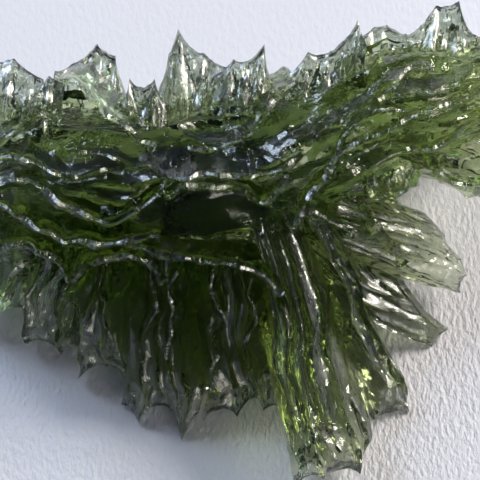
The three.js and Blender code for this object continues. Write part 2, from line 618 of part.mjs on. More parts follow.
function stone() {
  const blades = [...Object.values(FINGERS), ...Object.values(FRINGE)].map(blade);
  const mass = union([bar(), lump(APRON), ...blades]);
  const etched = mass.subtract(union(Object.values(SCOOPS).map(lump)));
  const relief = union([
    ...Object.values(SAILS).map(blade),
    ...Object.values(RIDGES).map(ridge),
    ...Object.values(FAN_RIBS).map((crest) => ridge({ crest, ...FAN_RIB })),
    ...underRidges(),
    lump(FOOT),
  ]);
  return largest(etched.add(relief));
}

// Fewer triangles can leave two sheets touching at a vertex or along an edge. Each copy of such a
// vertex is drawn into its own sheet, which leaves a hairline between them.
function parted(geometry) {
  geometry.computeVertexNormals();
  const positions = geometry.getAttribute("position");
  const normals = geometry.getAttribute("normal");
  const point = (i) => new THREE.Vector3().fromBufferAttribute(positions, i);
  const places = Array.from({ length: positions.count }, (_, i) => point(i).multiplyScalar(1000).round());
  const names = places.map((place) => place.toArray().join());
  const copies = new Map();
  for (const name of names) copies.set(name, (copies.get(name) || 0) + 1);
  names.forEach((name, i) => {
    if (copies.get(name) < 2) return;
    const inside = point(i).addScaledVector(new THREE.Vector3().fromBufferAttribute(normals, i), -HAIRLINE);
    positions.setXYZ(i, inside.x, inside.y, inside.z);
  });
  return geometry;
}

async function lighter(geometry) {
  const spare = (1 - (3 * TRIANGLES) / geometry.index.count) * geometry.attributes.position.count;
  return new SimplifyModifier().modify(geometry, spare);
}

const light = solidOf(await lighter(geometryOf(stone())));
const geometry = parted(geometryOf(largest(light.subtract(solidOf(below))))).applyMatrix4(lean);
geometry.computeVertexNormals();

const glass = new THREE.MeshStandardMaterial({ color: 0x3c5a1e, roughness: 0.08, metalness: 0 });
const moldavite = new THREE.Mesh(geometry, glass);
moldavite.name = "moldavite";

const group = new THREE.Group();
group.add(moldavite);
export default group;
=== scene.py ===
"""A moldavite of the hedgehog kind: one natural piece of green glass, deeply etched.

A bar of glass lies along X. Long cusped ridges run over it, thin pointed sails stand along its upper
edge, and a fan of fluted fingers and a fringe of spines spread from its lower edge down to the surface
it rests on. The forms are laid out in the stone's own frame, in millimetres: x along the stone, y across
its broad face, z out of that face. The stone is then leaned back and set down, and put into metres.
"""

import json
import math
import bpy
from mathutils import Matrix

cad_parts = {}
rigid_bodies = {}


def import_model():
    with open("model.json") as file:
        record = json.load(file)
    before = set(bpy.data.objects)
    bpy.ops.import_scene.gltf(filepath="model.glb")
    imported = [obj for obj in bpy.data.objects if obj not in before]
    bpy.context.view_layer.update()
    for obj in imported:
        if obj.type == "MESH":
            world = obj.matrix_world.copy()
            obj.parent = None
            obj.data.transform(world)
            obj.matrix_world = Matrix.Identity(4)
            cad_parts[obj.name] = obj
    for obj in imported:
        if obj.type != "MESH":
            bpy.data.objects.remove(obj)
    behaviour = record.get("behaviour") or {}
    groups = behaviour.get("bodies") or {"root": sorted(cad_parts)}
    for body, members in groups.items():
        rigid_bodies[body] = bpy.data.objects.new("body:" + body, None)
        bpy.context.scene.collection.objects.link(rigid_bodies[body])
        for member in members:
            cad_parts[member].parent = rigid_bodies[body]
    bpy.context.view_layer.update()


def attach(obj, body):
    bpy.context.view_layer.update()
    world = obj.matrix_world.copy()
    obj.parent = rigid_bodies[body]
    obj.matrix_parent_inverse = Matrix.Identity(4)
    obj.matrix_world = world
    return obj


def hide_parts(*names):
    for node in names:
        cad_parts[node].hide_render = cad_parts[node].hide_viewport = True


bl_info = {
    "name": "Moldavite",
    "version": (1, 0, 0),
    "blender": (4, 5, 0),
    "location": "View3D > Sidebar > Moldavite",
    "description": "Builds an etched green glass stone and the paper it lies on",
    "category": "Add Mesh",
}

import bpy
import numpy as np
from mathutils import Matrix, Vector

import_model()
NODE = "moldavite"
SLOT = "moldavite_glass"
MM = 0.001

# ---- The stone's own frame ----------------------------------------------------------------------
FACE_TILT = math.radians(18)  # how far the broad face leans back from level
REST_HEIGHT = 4.5  # from the stone frame's origin down to the surface it rests on, in mm

# ---- The bar ------------------------------------------------------------------------------------
# Stations along the bar: [x, y, z of its centre, half height in y, half depth in z].
BAR = [
    [-18.0, 2.6, -1.4, 0.5, 0.5],
    [-16.6, 2.6, -1.2, 3.0, 2.4],
    [-13.5, 2.7, -0.9, 4.6, 3.9],
    [-9.5, 2.9, -0.8, 4.9, 4.4],
    [-5.0, 2.9, -0.7, 4.9, 4.5],
    [-0.5, 3.4, -0.7, 4.8, 4.5],
    [4.0, 5.0, -0.8, 4.6, 4.3],
    [8.0, 6.6, -1.1, 4.4, 3.9],
    [12.0, 7.9, -1.4, 3.7, 3.3],
    [15.5, 8.5, -1.7, 2.6, 2.4],
    [17.8, 8.9, -2.0, 0.5, 0.5],
]
BAR_FLUTES = 8  # lengthwise crests round the bar
BAR_FLUTE_DEPTH = 0.12  # share of the radius
BAR_TWIST = 1.1  # how far the crests wind round it, in radians over its length
BAR_GIRTH = 4.5  # mm of surface for a radian round it
BAR_PLEAT = 0.17  # height of its pleats, in mm
BAR_PLEATS = 3  # pleats to a radius round it
BAR_PLEAT_LENGTH = 4  # mm
BAR_PLEAT_WIND = 0.3  # how far the pleats wind with the crests, as a share
BAR_PLEAT_FADE = 3  # half height in mm below which the pleats fade

# ---- Blades -------------------------------------------------------------------------------------
# A blade is a sheet of glass spread between ribs, each from a root inside the stone to a tip:
# [root x, y, z, tip x, y, z]. Its other values are
#   thick  thickness at the root, in mm
#   flare  1 for flat flanks, more for hollow ones, less for full ones
#   flute  how much thinner it is half way between two ribs, as a share
#   sag    how far its edge falls back between two tips, as a share of their distance
#   body   how bluntly its thickness ends at its first and last ribs
#   edge   thickness at the tip, in mm
# What the forms of a table share is in FINGER_SKIN, FRINGE_SKIN, SAIL_SKIN and RIDGE_SHAPE.
FINGERS = {
    "right_finger": {
        "thick": 6.0, "flare": 0.65, "sag": 0.12, "body": 2.4,
        "ribs": [
            [8.6, 7.0, -1.7, 15.9, 6.4, -1.0],
            [8.6, 6.0, -1.3, 16.3, 5.0, -0.8],
            [8.6, 5.0, -1.1, 15.4, 3.7, -0.7],
            [8.6, 4.0, -1.5, 15.0, 2.7, -1.1],
        ],
    },
    "fan_finger": {
        "thick": 5.2, "flare": 0.80, "sag": 0.14, "body": 3,
        "ribs": [
            [6.0, 3.8, -0.7, 10.6, 1.5, -0.7],
            [5.8, 2.9, -0.4, 12.2, 0.2, -1.5],
            [5.6, 2.1, -0.2, 13.3, -1.1, -2.1],
            [5.4, 1.3, -0.1, 13.6, -2.1, -2.5],
            [5.3, 0.5, -0.3, 13.1, -3.3, -2.7],
            [5.3, -0.3, -0.7, 11.3, -2.9, -2.3],
        ],
    },
    "blunt_finger": {
        "thick": 5.6, "flare": 0.60, "sag": 0.12, "body": 2.4,
        "ribs": [
            [5.4, 0.6, -1.3, 9.8, -2.4, -1.0],
            [5.0, -0.4, -1.1, 10.8, -4.0, -1.8],
            [4.8, -1.3, -1.0, 12.0, -5.5, -2.5],
            [4.7, -2.1, -1.2, 11.3, -6.5, -2.5],
            [4.6, -2.9, -1.7, 9.4, -5.6, -2.2],
        ],
    },
    "low_finger": {
        "thick": 6.4, "flare": 0.70, "sag": 0.13, "body": 2.6,
        "ribs": [
            [5.0, 2.4, -0.7, 9.5, -8.5, -1.0],
            [4.2, 2.2, -0.2, 10.2, -10.3, -1.35],
            [3.3, 1.9, 0.0, 9.1, -10.2, -0.9],
            [2.5, 1.4, -0.2, 8.0, -10.6, -0.7],
        ],
    },
    "great_finger": {
        "thick": 6.4, "flare": 0.60, "sag": 0.12, "body": 2.8,
        "ribs": [
            [3.9, 1.9, -0.3, 7.7, -11.8, 1.0],
            [3.2, 1.7, 0.1, 7.2, -13.7, 1.6],
            [2.6, 1.5, 0.3, 5.9, -13.4, 2.2],
            [2.0, 1.3, 0.4, 4.9, -13.9, 2.5],
            [1.4, 1.1, 0.4, 4.0, -13.6, 2.5],
            [0.9, 0.9, 0.3, 3.3, -14.1, 2.3],
            [0.5, 0.6, 0.0, 2.4, -11.2, 1.4],
        ],
    },
}

FRINGE = {
    "middle_fringe": {
        "thick": 6.4, "flare": 0.60, "sag": 0.2, "body": 4,
        "ribs": [
            [0.8, -0.3, 1.1, 2.2, -10.0, 0.2],
            [0.1, -0.3, 1.3, 1.3, -10.3, -0.1],
            [-0.6, -0.3, 1.3, 0.6, -9.5, -0.2],
            [-1.2, -0.3, 1.3, -0.1, -10.7, -0.4],
            [-1.8, -0.3, 1.2, -1.4, -10.4, -0.5],
            [-2.5, -0.3, 1.1, -2.1, -10.9, -0.7],
        ],
    },
    "long_fringe": {
        "thick": 6.6, "flare": 0.60, "sag": 0.2, "body": 4,
        "ribs": [
            [-2.2, -0.3, 1.0, -2.4, -10.3, -0.8],
            [-3.0, -0.3, 1.0, -3.4, -12.0, -1.0],
            [-3.8, -0.3, 1.0, -4.1, -9.9, -0.8],
            [-4.6, -0.3, 1.0, -4.9, -9.7, -0.8],
            [-5.4, -0.3, 0.9, -6.0, -10.9, -1.0],
            [-6.2, -0.3, 0.7, -7.1, -9.8, -1.1],
        ],
    },
    "leaf_fringe": {
        "thick": 6.2, "flare": 0.60, "sag": 0.22, "body": 3,
        "ribs": [
            [-6.2, 0.0, 0.6, -7.2, -8.2, -1.2],
            [-7.0, 0.0, 0.5, -8.3, -7.7, -1.3],
            [-7.8, 0.0, 0.4, -9.9, -8.6, -1.2],
            [-8.7, 0.0, 0.2, -10.3, -6.4, -1.2],
        ],
    },
    "left_fringe": {
        "thick": 5.8, "flare": 0.60, "sag": 0.2, "body": 3,
        "ribs": [
            [-8.4, 0.2, 0.2, -10.3, -6.5, -1.4],
            [-9.2, 0.2, 0.2, -11.1, -6.9, -1.5],
            [-10.2, 0.2, 0.2, -12.2, -5.9, -1.7],
            [-11.0, 0.2, 0.0, -13.1, -6.1, -1.8],
            [-11.8, 0.4, -0.2, -12.8, -4.4, -1.8],
        ],
    },
    "end_fringe": {
        "thick": 5.8, "flare": 0.60, "sag": 0.15, "body": 3,
        "ribs": [
            [-11.6, 0.8, -0.6, -12.7, -4.0, -1.4],
            [-13.0, 0.8, -0.6, -14.4, -4.2, -1.5],
            [-14.4, 1.0, -0.8, -16.2, -4.3, -1.7],
            [-15.6, 1.2, -1.2, -18.0, -2.6, -1.9],
        ],
    },
}

SAILS = {
    "left_lobe": {
        "thick": 3.4, "flare": 0.8, "flute": 0.3, "sag": 0.03, "body": 3,
        "ribs": [
            [-17.0, 4.6, -1.4, -18.2, 7.6, -1.4],
            [-15.8, 5.2, -0.8, -15.9, 10.4, -0.9],
            [-14.2, 5.4, -0.4, -13.7, 10.9, -0.6],
            [-12.6, 5.4, -0.3, -11.9, 9.4, -0.3],
        ],
    },
    "green_lobe": {
        "thick": 2.6, "flare": 0.8, "flute": 0.3, "sag": 0.1, "body": 3, "edge": 0.3,
        "ribs": [
            [-13.0, 5.0, 1.0, -12.6, 7.9, 1.6],
            [-12.0, 5.2, 1.1, -11.6, 9.4, 1.2],
            [-10.8, 5.4, 1.0, -10.6, 9.1, 1.3],
        ],
    },
    "rear_sail": {
        "thick": 3.6, "flare": 0.8, "flute": 0.4, "sag": 0.14, "body": 3,
        "ribs": [
            [-11.4, 5.6, -2.6, -11.0, 10.2, -2.8],
            [-10.2, 5.6, -2.7, -9.9, 10.6, -3.2],
            [-8.7, 5.8, -2.7, -8.5, 11.6, -3.6],
            [-7.4, 5.8, -2.6, -7.3, 10.8, -3.4],
            [-6.4, 5.8, -2.4, -6.8, 9.0, -2.8],
        ],
    },
    "twin_sail": {
        "thick": 3.6, "flare": 0.8, "flute": 0.45, "sag": 0.34, "body": 3,
        "ribs": [
            [-7.4, 5.4, 0.0, -7.2, 8.4, -0.2],
            [-6.5, 5.6, 0.4, -6.7, 9.6, 0.0],
            [-5.2, 5.6, 0.5, -5.2, 9.8, 0.3],
            [-4.2, 5.6, 0.2, -4.3, 8.4, 0.2],
        ],
    },
    "tall_sail": {
        "thick": 3.4, "flare": 0.8, "flute": 0.4, "sag": 0.12, "body": 3,
        "ribs": [
            [-5.0, 6.0, -1.0, -4.8, 9.4, -1.2],
            [-4.3, 6.1, -1.0, -4.4, 11.2, -1.4],
            [-3.4, 6.2, -1.0, -3.85, 12.8, -1.7],
            [-2.2, 6.2, -0.9, -2.2, 11.2, -1.4],
            [-1.0, 6.3, -0.8, -0.9, 10.0, -1.0],
        ],
    },
    "leaf_sail": {
        "thick": 3.4, "flare": 0.8, "flute": 0.4, "sag": 0.12, "body": 3,
        "ribs": [
            [-1.9, 6.2, -0.2, -1.6, 9.5, -0.4],
            [-0.8, 6.3, 0.0, -0.5, 10.5, -0.3],
            [0.3, 6.4, 0.1, 0.4, 10.5, 0.0],
            [1.1, 6.6, 0.1, 1.2, 11.5, 0.1],
            [1.9, 6.8, 0.1, 1.8, 9.4, 0.3],
        ],
    },
    "fluted_hump": {
        "thick": 3.4, "flare": 0.9, "flute": 0.5, "sag": 0.12, "body": 4,
        "ribs": [
            [2.4, 6.8, 0.0, 2.7, 9.8, 0.4],
            [3.5, 7.2, 0.1, 3.8, 11.4, 0.3],
            [4.6, 7.8, 0.0, 5.0, 11.4, -0.1],
            [5.6, 8.2, -0.2, 5.9, 12.0, -0.4],
            [6.5, 8.6, -0.4, 6.8, 13.1, -0.8],
            [7.3, 8.8, -0.6, 7.4, 11.6, -0.6],
        ],
    },
    "pale_bowl": {
        "thick": 2.6, "flare": 0.9, "flute": 0.2, "sag": 0.06, "body": 3,
        "ribs": [
            [7.0, 9.0, -1.4, 7.3, 12.2, -1.5],
            [8.0, 9.2, -1.6, 8.0, 12.7, -1.9],
            [9.0, 9.4, -1.6, 8.8, 12.8, -2.0],
            [10.2, 9.6, -1.6, 10.1, 12.2, -1.8],
        ],
    },
    "twin_spike": {
        "thick": 2.8, "flare": 1.0, "flute": 0.4, "sag": 0.16, "body": 4,
        "ribs": [
            [9.6, 9.2, -1.4, 9.9, 12.1, -1.4],
            [11.2, 9.6, -1.4, 11.6, 13.8, -1.8],
            [12.6, 9.9, -1.5, 13.0, 14.1, -2.0],
            [14.0, 10.0, -1.6, 14.1, 12.4, -1.7],
            [15.4, 9.8, -1.8, 15.9, 12.6, -2.0],
            [16.6, 9.6, -1.9, 18.0, 10.9, -2.2],
        ],
    },
    "end_spine": {
        "thick": 3.0, "flare": 0.9, "flute": 0.4, "sag": 0.18, "body": 2.6,
        "ribs": [
            [14.4, 10.0, -1.4, 17.2, 10.6, -1.6],
            [14.4, 9.0, -1.2, 18.9, 9.2, -1.8],
            [14.2, 7.8, -1.4, 17.4, 7.4, -1.6],
        ],
    },
}

# A ridge is a blade given by its crest line [x, y, z] and one offset from the crest to its root.
RIDGES = {
    "upper_left_comb": {
        "thick": 1.8, "root": [0.2, 1.0, -2.6],
        "crest": [
            [-16.6, 5.2, 1.2], [-14.4, 5.6, 2.5], [-13.0, 6.4, 2.7], [-12.0, 7.0, 2.5], [-11.0, 6.6, 1.8],
        ],
    },
    "left_upper_crest": {
        "thick": 2.0, "root": [0, 1.1, -2.7],
        "crest": [
            [-17.2, 4.0, 1.6], [-14.6, 4.6, 3.2], [-12.8, 4.3, 3.7], [-11.2, 3.75, 4.0], [-9.8, 3.7, 4.0],
            [-8.3, 4.2, 3.9], [-6.9, 4.3, 3.5],
        ],
    },
    "hollow_crest": {
        "thick": 1.8, "root": [0.5, 0.7, -2.8],
        "crest": [
            [-10.9, 9.2, 0.2], [-9.7, 8.9, 0.9], [-8.8, 8.2, 1.5], [-8.0, 7.4, 2.0], [-6.9, 6.9, 2.3],
            [-6.0, 6.1, 2.6], [-5.2, 5.4, 2.8],
        ],
    },
    "band_crest": {
        "thick": 2.2, "root": [0, 1.1, -2.8],
        "crest": [
            [-9.6, 5.0, 2.9], [-7.6, 4.8, 3.5], [-5.9, 4.1, 4.1], [-4.6, 3.5, 4.5], [-3.0, 3.4, 4.7],
            [-1.2, 3.6, 4.7], [0.6, 3.8, 4.6], [2.4, 4.2, 4.3], [3.6, 5.0, 3.8],
        ],
    },
    "band_lip": {
        "thick": 1.8, "root": [0, 0.8, -2.6],
        "crest": [
            [-4.9, 3.0, 4.2], [-4.2, 2.2, 4.7], [-3.2, 3.0, 4.9], [-1.4, 2.9, 4.9], [0.2, 3.1, 4.8],
            [1.4, 2.4, 4.8], [2.4, 3.1, 4.5], [2.9, 4.0, 4.0],
        ],
    },
    "bowl_rim": {
        "thick": 1.9, "root": [0, 0.4, -2.8],
        "crest": [
            [-5.0, 6.2, 2.2], [-4.2, 5.4, 2.8], [-2.8, 5.1, 3.2], [-1.4, 5.2, 3.3], [-0.2, 5.8, 3.2],
            [0.8, 6.7, 3.0], [1.5, 7.8, 2.5], [2.2, 8.8, 1.8], [3.0, 9.8, 1.0],
        ],
    },
    "upper_right_crest": {
        "thick": 2.0, "root": [-0.3, 0.9, -2.8],
        "crest": [
            [0.6, 4.8, 3.7], [2.6, 5.1, 3.9], [4.2, 5.9, 3.7], [5.8, 6.8, 3.4], [7.4, 7.9, 3.0],
            [9.0, 9.1, 2.4], [11.2, 10.2, 1.4],
        ],
    },
    "window_rim": {
        "thick": 2.0, "root": [0, 0.9, -2.8],
        "crest": [
            [-13.2, 3.1, 3.9], [-12.0, 3.0, 4.4], [-10.9, 2.1, 4.8], [-9.2, 1.5, 5.0], [-7.5, 1.1, 5.2],
            [-6.0, 1.4, 5.1], [-4.9, 2.5, 4.8], [-4.3, 3.4, 4.4],
        ],
    },
    "low_crest": {
        "thick": 2.1, "root": [0, 1.0, -2.9],
        "crest": [
            [-17.4, 2.2, 1.6], [-15.0, 1.6, 3.8], [-13.2, 1.4, 4.6], [-11.8, 0.5, 4.9], [-10.0, 0.0, 5.1],
            [-8.2, -0.15, 5.2], [-6.4, -0.25, 5.2], [-4.4, -0.3, 4.9],
        ],
    },
    "belly_crest": {
        "thick": 2.2, "root": [0, 0.9, -3.0],
        "crest": [
            [-6.2, -0.5, 4.6], [-4.6, -1.0, 4.8], [-3.0, -1.4, 4.9], [-1.4, -1.4, 5.0], [0.2, -1.5, 4.9],
            [1.4, -2.1, 4.6], [2.4, -3.1, 4.2],
        ],
    },
    "corner_crest": {
        "thick": 2.0, "root": [0, 1.0, -2.8],
        "crest": [
            [-17.0, -0.4, 1.2], [-15.0, -0.9, 3.0], [-13.4, -0.6, 3.9], [-12.0, -0.7, 4.2],
            [-10.8, -1.2, 4.0], [-10.2, -2.4, 3.2],
        ],
    },
    "brow_crest": {
        "thick": 1.9, "root": [0, 1.1, -2.8],
        "crest": [
            [-10.2, -2.6, 2.8], [-9.2, -1.5, 3.9], [-7.8, -1.1, 4.4], [-6.4, -1.1, 4.5], [-5.2, -1.8, 4.1],
            [-4.6, -2.8, 3.4],
        ],
    },
    "trunk_comb": {
        "thick": 2.0, "root": [0.3, 0.6, -2.8],
        "crest": [
            [3.7, 0.6, 3.8], [4.1, 2.2, 4.2], [4.9, 3.4, 4.3], [5.7, 4.7, 4.2], [7.0, 5.3, 4.0],
            [8.2, 5.8, 3.7], [9.6, 6.4, 3.0],
        ],
    },
    "cross_crest": {
        "thick": 1.7, "root": [0.2, 0.8, -2.6],
        "crest": [
            [5.7, 5.1, 3.6], [6.2, 6.0, 3.7], [7.2, 6.9, 3.5], [8.4, 7.3, 3.2], [9.6, 7.4, 2.9],
        ],
    },
    "right_crest": {
        "thick": 1.9, "root": [0, 0.9, -2.8],
        "crest": [
            [8.0, 7.9, 2.6], [9.6, 8.4, 2.8], [11.2, 8.9, 2.5], [12.8, 9.5, 2.1], [14.4, 10.7, 1.2],
            [16.0, 11.2, 0.0],
        ],
    },
    "right_low_crest": {
        "thick": 1.9, "root": [0, 0.9, -2.8],
        "crest": [
            [9.4, 6.9, 2.9], [11.2, 7.7, 2.8], [13.0, 8.2, 2.5], [14.8, 9.1, 1.7], [17.0, 9.6, 0.0],
        ],
    },
    "right_belly_crest": {
        "thick": 2.0, "root": [0, 0.9, -2.8],
        "crest": [
            [8.4, 5.0, 3.0], [9.8, 5.3, 3.1], [11.4, 5.6, 2.8], [13.0, 6.5, 2.4], [15.0, 7.3, 1.4],
            [16.8, 7.8, 0.2],
        ],
    },
    "knob_crest": {
        "thick": 1.6, "root": [-0.4, 0.6, -2.4],
        "crest": [
            [8.0, 3.6, 2.6], [8.6, 2.5, 2.9], [9.5, 2.2, 2.9], [10.3, 2.9, 2.6], [10.8, 4.2, 2.2],
        ],
    },
    "finger_crest": {
        "thick": 1.6, "root": [-0.5, 0.2, -2.2],
        "crest": [
            [10.9, 5.6, 2.2], [11.9, 4.8, 2.2], [12.8, 3.8, 1.9], [14.2, 3.3, 1.2], [15.4, 3.2, 0.4],
        ],
    },
    "fan_comb": {
        "thick": 1.4, "root": [0.3, 0.5, -2.4],
        "crest": [
            [6.9, 1.6, 2.6], [7.9, 0.2, 2.2], [8.9, -0.9, 1.6], [9.7, -1.8, 0.8],
        ],
    },
    "fan_rim": {
        "thick": 1.5, "root": [0.3, 0.7, -2.4],
        "crest": [
            [4.4, 1.5, 3.4], [5.4, 0.9, 3.0], [6.5, 0.1, 2.5], [7.8, -0.2, 2.0], [9.0, -0.6, 1.2],
        ],
    },
}

# Ribs run down the fan from the belly crest to the fringe.
FAN_RIBS = {
    "first_rib": [[-9.9, -1.2, 3.0], [-10.4, -3.0, 2.4], [-10.8, -4.8, 1.0], [-10.9, -6.2, -0.4]],
    "second_rib": [[-8.3, -1.6, 3.4], [-8.4, -3.4, 3.0], [-7.9, -5.2, 1.9], [-7.8, -7.0, 0.4]],
    "third_rib": [
        [-5.6, -2.0, 3.9], [-5.4, -4.0, 3.5], [-5.9, -6.2, 2.3], [-6.1, -8.6, 0.8], [-6.0, -10.0, -0.3],
    ],
    "fourth_rib": [
        [-3.6, -2.0, 4.2], [-4.2, -4.0, 3.9], [-4.1, -6.0, 3.0], [-4.4, -8.0, 1.6], [-4.3, -9.4, 0.3],
    ],
    "fifth_rib": [
        [-1.9, -2.1, 4.3], [-1.4, -4.2, 4.1], [-1.2, -6.2, 3.3], [-1.7, -8.2, 2.0], [-1.9, -9.9, 0.5],
    ],
    "sixth_rib": [[0.2, -2.2, 4.2], [0.9, -4.4, 3.9], [0.6, -6.2, 3.2], [0.3, -8.0, 2.0], [0.7, -9.2, 0.9]],
}
FAN_RIB = {"thick": 1.7, "root": [0.3, 0.5, -2.6], "edge": 0.16, "wander": 0.45}

# The thick root of the fringe, an ellipsoid as the scoops are.
APRON = [-3.4, -4.2, -1.4, 6.6, 4.6, 2.0, -12]

# The underside has rows of shorter ridges along the bar, staggered from row to row. Places along the
# bar are counted in its stations.
UNDER_ROWS = 5
UNDER_SPREAD = 0.88  # how far the outer rows lie from the middle, as a share of the half height
UNDER_RIDGES = 3  # in a row
UNDER_STATIONS = 4  # along a ridge
UNDER_START = 0.9
UNDER_PITCH = 2.75  # from ridge to ridge
UNDER_STEP = 0.8  # from station to station
UNDER_STAGGER = 0.6
UNDER_HEIGHT = 1.5  # of a crest over the bar, unless the resting surface is nearer
UNDER_DIP = 0.4  # by which a crest's height varies
UNDER_SWAY = 0.5  # by which a crest sways to either side
UNDER_CLEAR = 0.2  # by which a crest stops short of the resting surface, or passes it
UNDER_CREST = {"thick": 2.2, "root": [0, 0.4, 3.2]}
FOOT = [-1.2, 2.2, -4.6, 3.4, 2.2, 1.9, 4]  # the lump that carries most of the weight, as a scoop's

# Scoops are ellipsoids etched out of the bar and fingers: [x, y, z, half sizes in x, y, z, turn in
# degrees].
SCOOPS = {
    "sail_bowl": [-1.7, 7.2, 4.0, 3.1, 1.7, 2.9, 0],
    "dark_hollow": [-9.3, 7.7, 3.0, 1.7, 1.1, 3.0, -20],
    "band_scoop": [-9.6, 5.9, 5.0, 3.6, 0.9, 2.4, -6],
    "left_window": [-8.0, 2.9, 6.2, 3.4, 1.1, 2.9, -6],
    "low_window": [-7.6, 0.5, 6.6, 4.2, 0.7, 2.6, -4],
    "great_window": [0.4, 0.9, 7.4, 4.6, 2.0, 4.2, 3],
    "trunk_window": [6.9, 3.1, 6.0, 1.7, 1.5, 3.0, 30],
    "cross_window": [7.4, 6.2, 5.4, 1.1, 0.6, 2.4, 20],
    "slope_scoop": [4.2, 7.6, 5.2, 2.8, 1.2, 3.2, 36],
    "right_window": [11.0, 7.5, 4.6, 2.6, 0.7, 2.6, 24],
    "right_scoop": [10.9, 4.3, 4.4, 1.3, 1.1, 2.6, 10],
    "end_window": [-14.2, 3.0, 5.6, 2.0, 1.0, 2.8, -4],
    "corner_window": [-12.7, -2.4, 5.2, 1.9, 1.2, 2.6, -10],
    "lens_bowl": [8.5, 11.8, -0.3, 1.2, 0.8, 1.2, 8],
}

# The stone's slow irregularity: (size in mm, radians per mm, phase).
WAVES = ((0.22, 0.62, 0.9), (0.1, 1.45, 2.3))

# ---- Fineness of the forms before they are joined -------------------------------------------------
BAR_TURNS = 150
BAR_STEPS = 150
LUMP_TURNS = 56
LUMP_RINGS = 28
FINGER_STEP = 0.2  # mm along the edge of a finger, and of the fringe
FINGER_ROWS = 22  # from root to tip
SAIL_ROWS = 12
CREST_STEP = 0.14  # mm along a sail's edge or a crest
CREST_ROWS = 9
UNDER_FINE_STEP = 0.3  # mm along a crest of the underside
UNDER_FINE_ROWS = 6

# ---- Irregular surfaces ---------------------------------------------------------------------------
PLEAT_STEEPNESS = 1.6
PLEAT_SOFT = 0.03  # how round the crests of pleats are, unless a form says otherwise
WIDE_SHARE, FINE_SHARE = 0.68, 0.32  # of the two octaves of pleats
FINER_ACROSS, FINER_DOWN = 2.3, 1.7  # how much closer the second octave is
SCALLOP_WAVES = ((0.33, 0.93, 1.0), (0.21, 2.17, 1.7))  # size, rate, and share of the seed


def lattice(x, y, seed):
    """A number from 0 to 1 for each whole point: the bits of its coordinates and seed are stirred."""
    h = (x * 73856093) ^ (y * 19349663) ^ (seed * 40503 + 977)
    h &= 0xFFFFFFFF
    h = ((h ^ (h >> 15)) * 0x2C1B3C6D) & 0xFFFFFFFF
    h = ((h ^ (h >> 12)) * 0x297A2D39) & 0xFFFFFFFF
    return (h ^ (h >> 15)) / 2.0**32


def grain(x, y, seed):
    """Smooth noise from -1 to 1, a lump to a unit: the lattice's numbers at the four corners round a
    point, blended along each axis by 3t^2 - 2t^3."""
    x, y = np.broadcast_arrays(x, y)
    cell = [np.floor(axis).astype(np.int64) for axis in (x, y)]
    t = [axis - whole for axis, whole in zip((x, y), cell)]
    t = [s * s * (3 - 2 * s) for s in t]
    total = np.zeros(x.shape)
    for corner in np.ndindex(2, 2):
        share = np.prod([s if c else 1 - s for s, c in zip(t, corner)], axis=0)
        total += share * lattice(*(whole + c for whole, c in zip(cell, corner)), seed)
    return 2 * total - 1


def crests(across, down, seed, soft):
    """One octave of pleats: 1 less the size of noise n, where the size is sqrt(n^2 + soft^2) - soft,
    so a crest is as round as soft says."""
    return 1 - PLEAT_STEEPNESS * (np.hypot(grain(across, down, seed), soft) - soft)


def pleats(across, down, seed, soft=PLEAT_SOFT):
    """Narrow crests and round hollows, 0 to 1: the weighted sum of two octaves."""
    fine = crests(across * FINER_ACROSS, down * FINER_DOWN, seed + 7, soft)
    return np.clip(WIDE_SHARE * crests(across, down, seed, soft) + FINE_SHARE * fine, 0, 1)


def scallops(along_edge, pitch, seed):
    """0 at sharp cusps and 1 half way between, at an uneven pitch: |sin| of a phase that two slow
    waves hurry and delay."""
    phase = k = along_edge / pitch
    for size, rate, share in SCALLOP_WAVES:
        phase = phase + size * np.sin(rate * k + share * seed)
    return np.abs(np.sin(np.pi * phase))


def warped(points):
    """Every point is moved by waves that run across the other directions."""
    moved = points.copy()
    x, y, z = points[..., 0], points[..., 1], points[..., 2]
    for size, rate, phase in WAVES:
        moved[..., 0] += size * np.sin(rate * y + 1.3 * rate * z + phase)
        moved[..., 1] += size * np.sin(rate * x + 0.8 * rate * z + 2 * phase)
        moved[..., 2] += size * np.sin(0.9 * rate * x + rate * y + 3 * phase)
    return moved


# ---- Curves and skins -----------------------------------------------------------------------------
CREST_FADE = 0.5  # mm from a crest over which its frosting dies away
FAR = 9.0  # mm, for a place that is near no crest


def along(points, t):
    """Points on the smooth curve through some points, at places t counted in points: a Catmull-Rom
    cubic between neighbours, with each end carried on straight."""
    points = np.asarray(points, float)
    i = np.minimum(t.astype(int), len(points) - 2)
    s = (t - i)[:, None]
    padded = np.vstack([2 * points[0] - points[1], points, 2 * points[-1] - points[-2]])
    p0, p1, p2, p3 = (padded[i + k] for k in range(4))
    weights = (-s + 2 * s**2 - s**3, 2 - 5 * s**2 + 3 * s**3, s + 4 * s**2 - 3 * s**3, s**3 - s**2)
    return 0.5 * sum(w * p for w, p in zip(weights, (p0, p1, p2, p3)))


def unit(vectors):
    return vectors / np.maximum(np.linalg.norm(vectors, axis=-1, keepdims=True), 1e-12)


def volume(points, faces):
    """Six times the volume that the faces enclose: the sum of the triple products of their corners."""
    a, b, c = (points[faces[:, k]] for k in range(3))
    return np.einsum("ij,ij->i", a, np.cross(b, c)).sum()


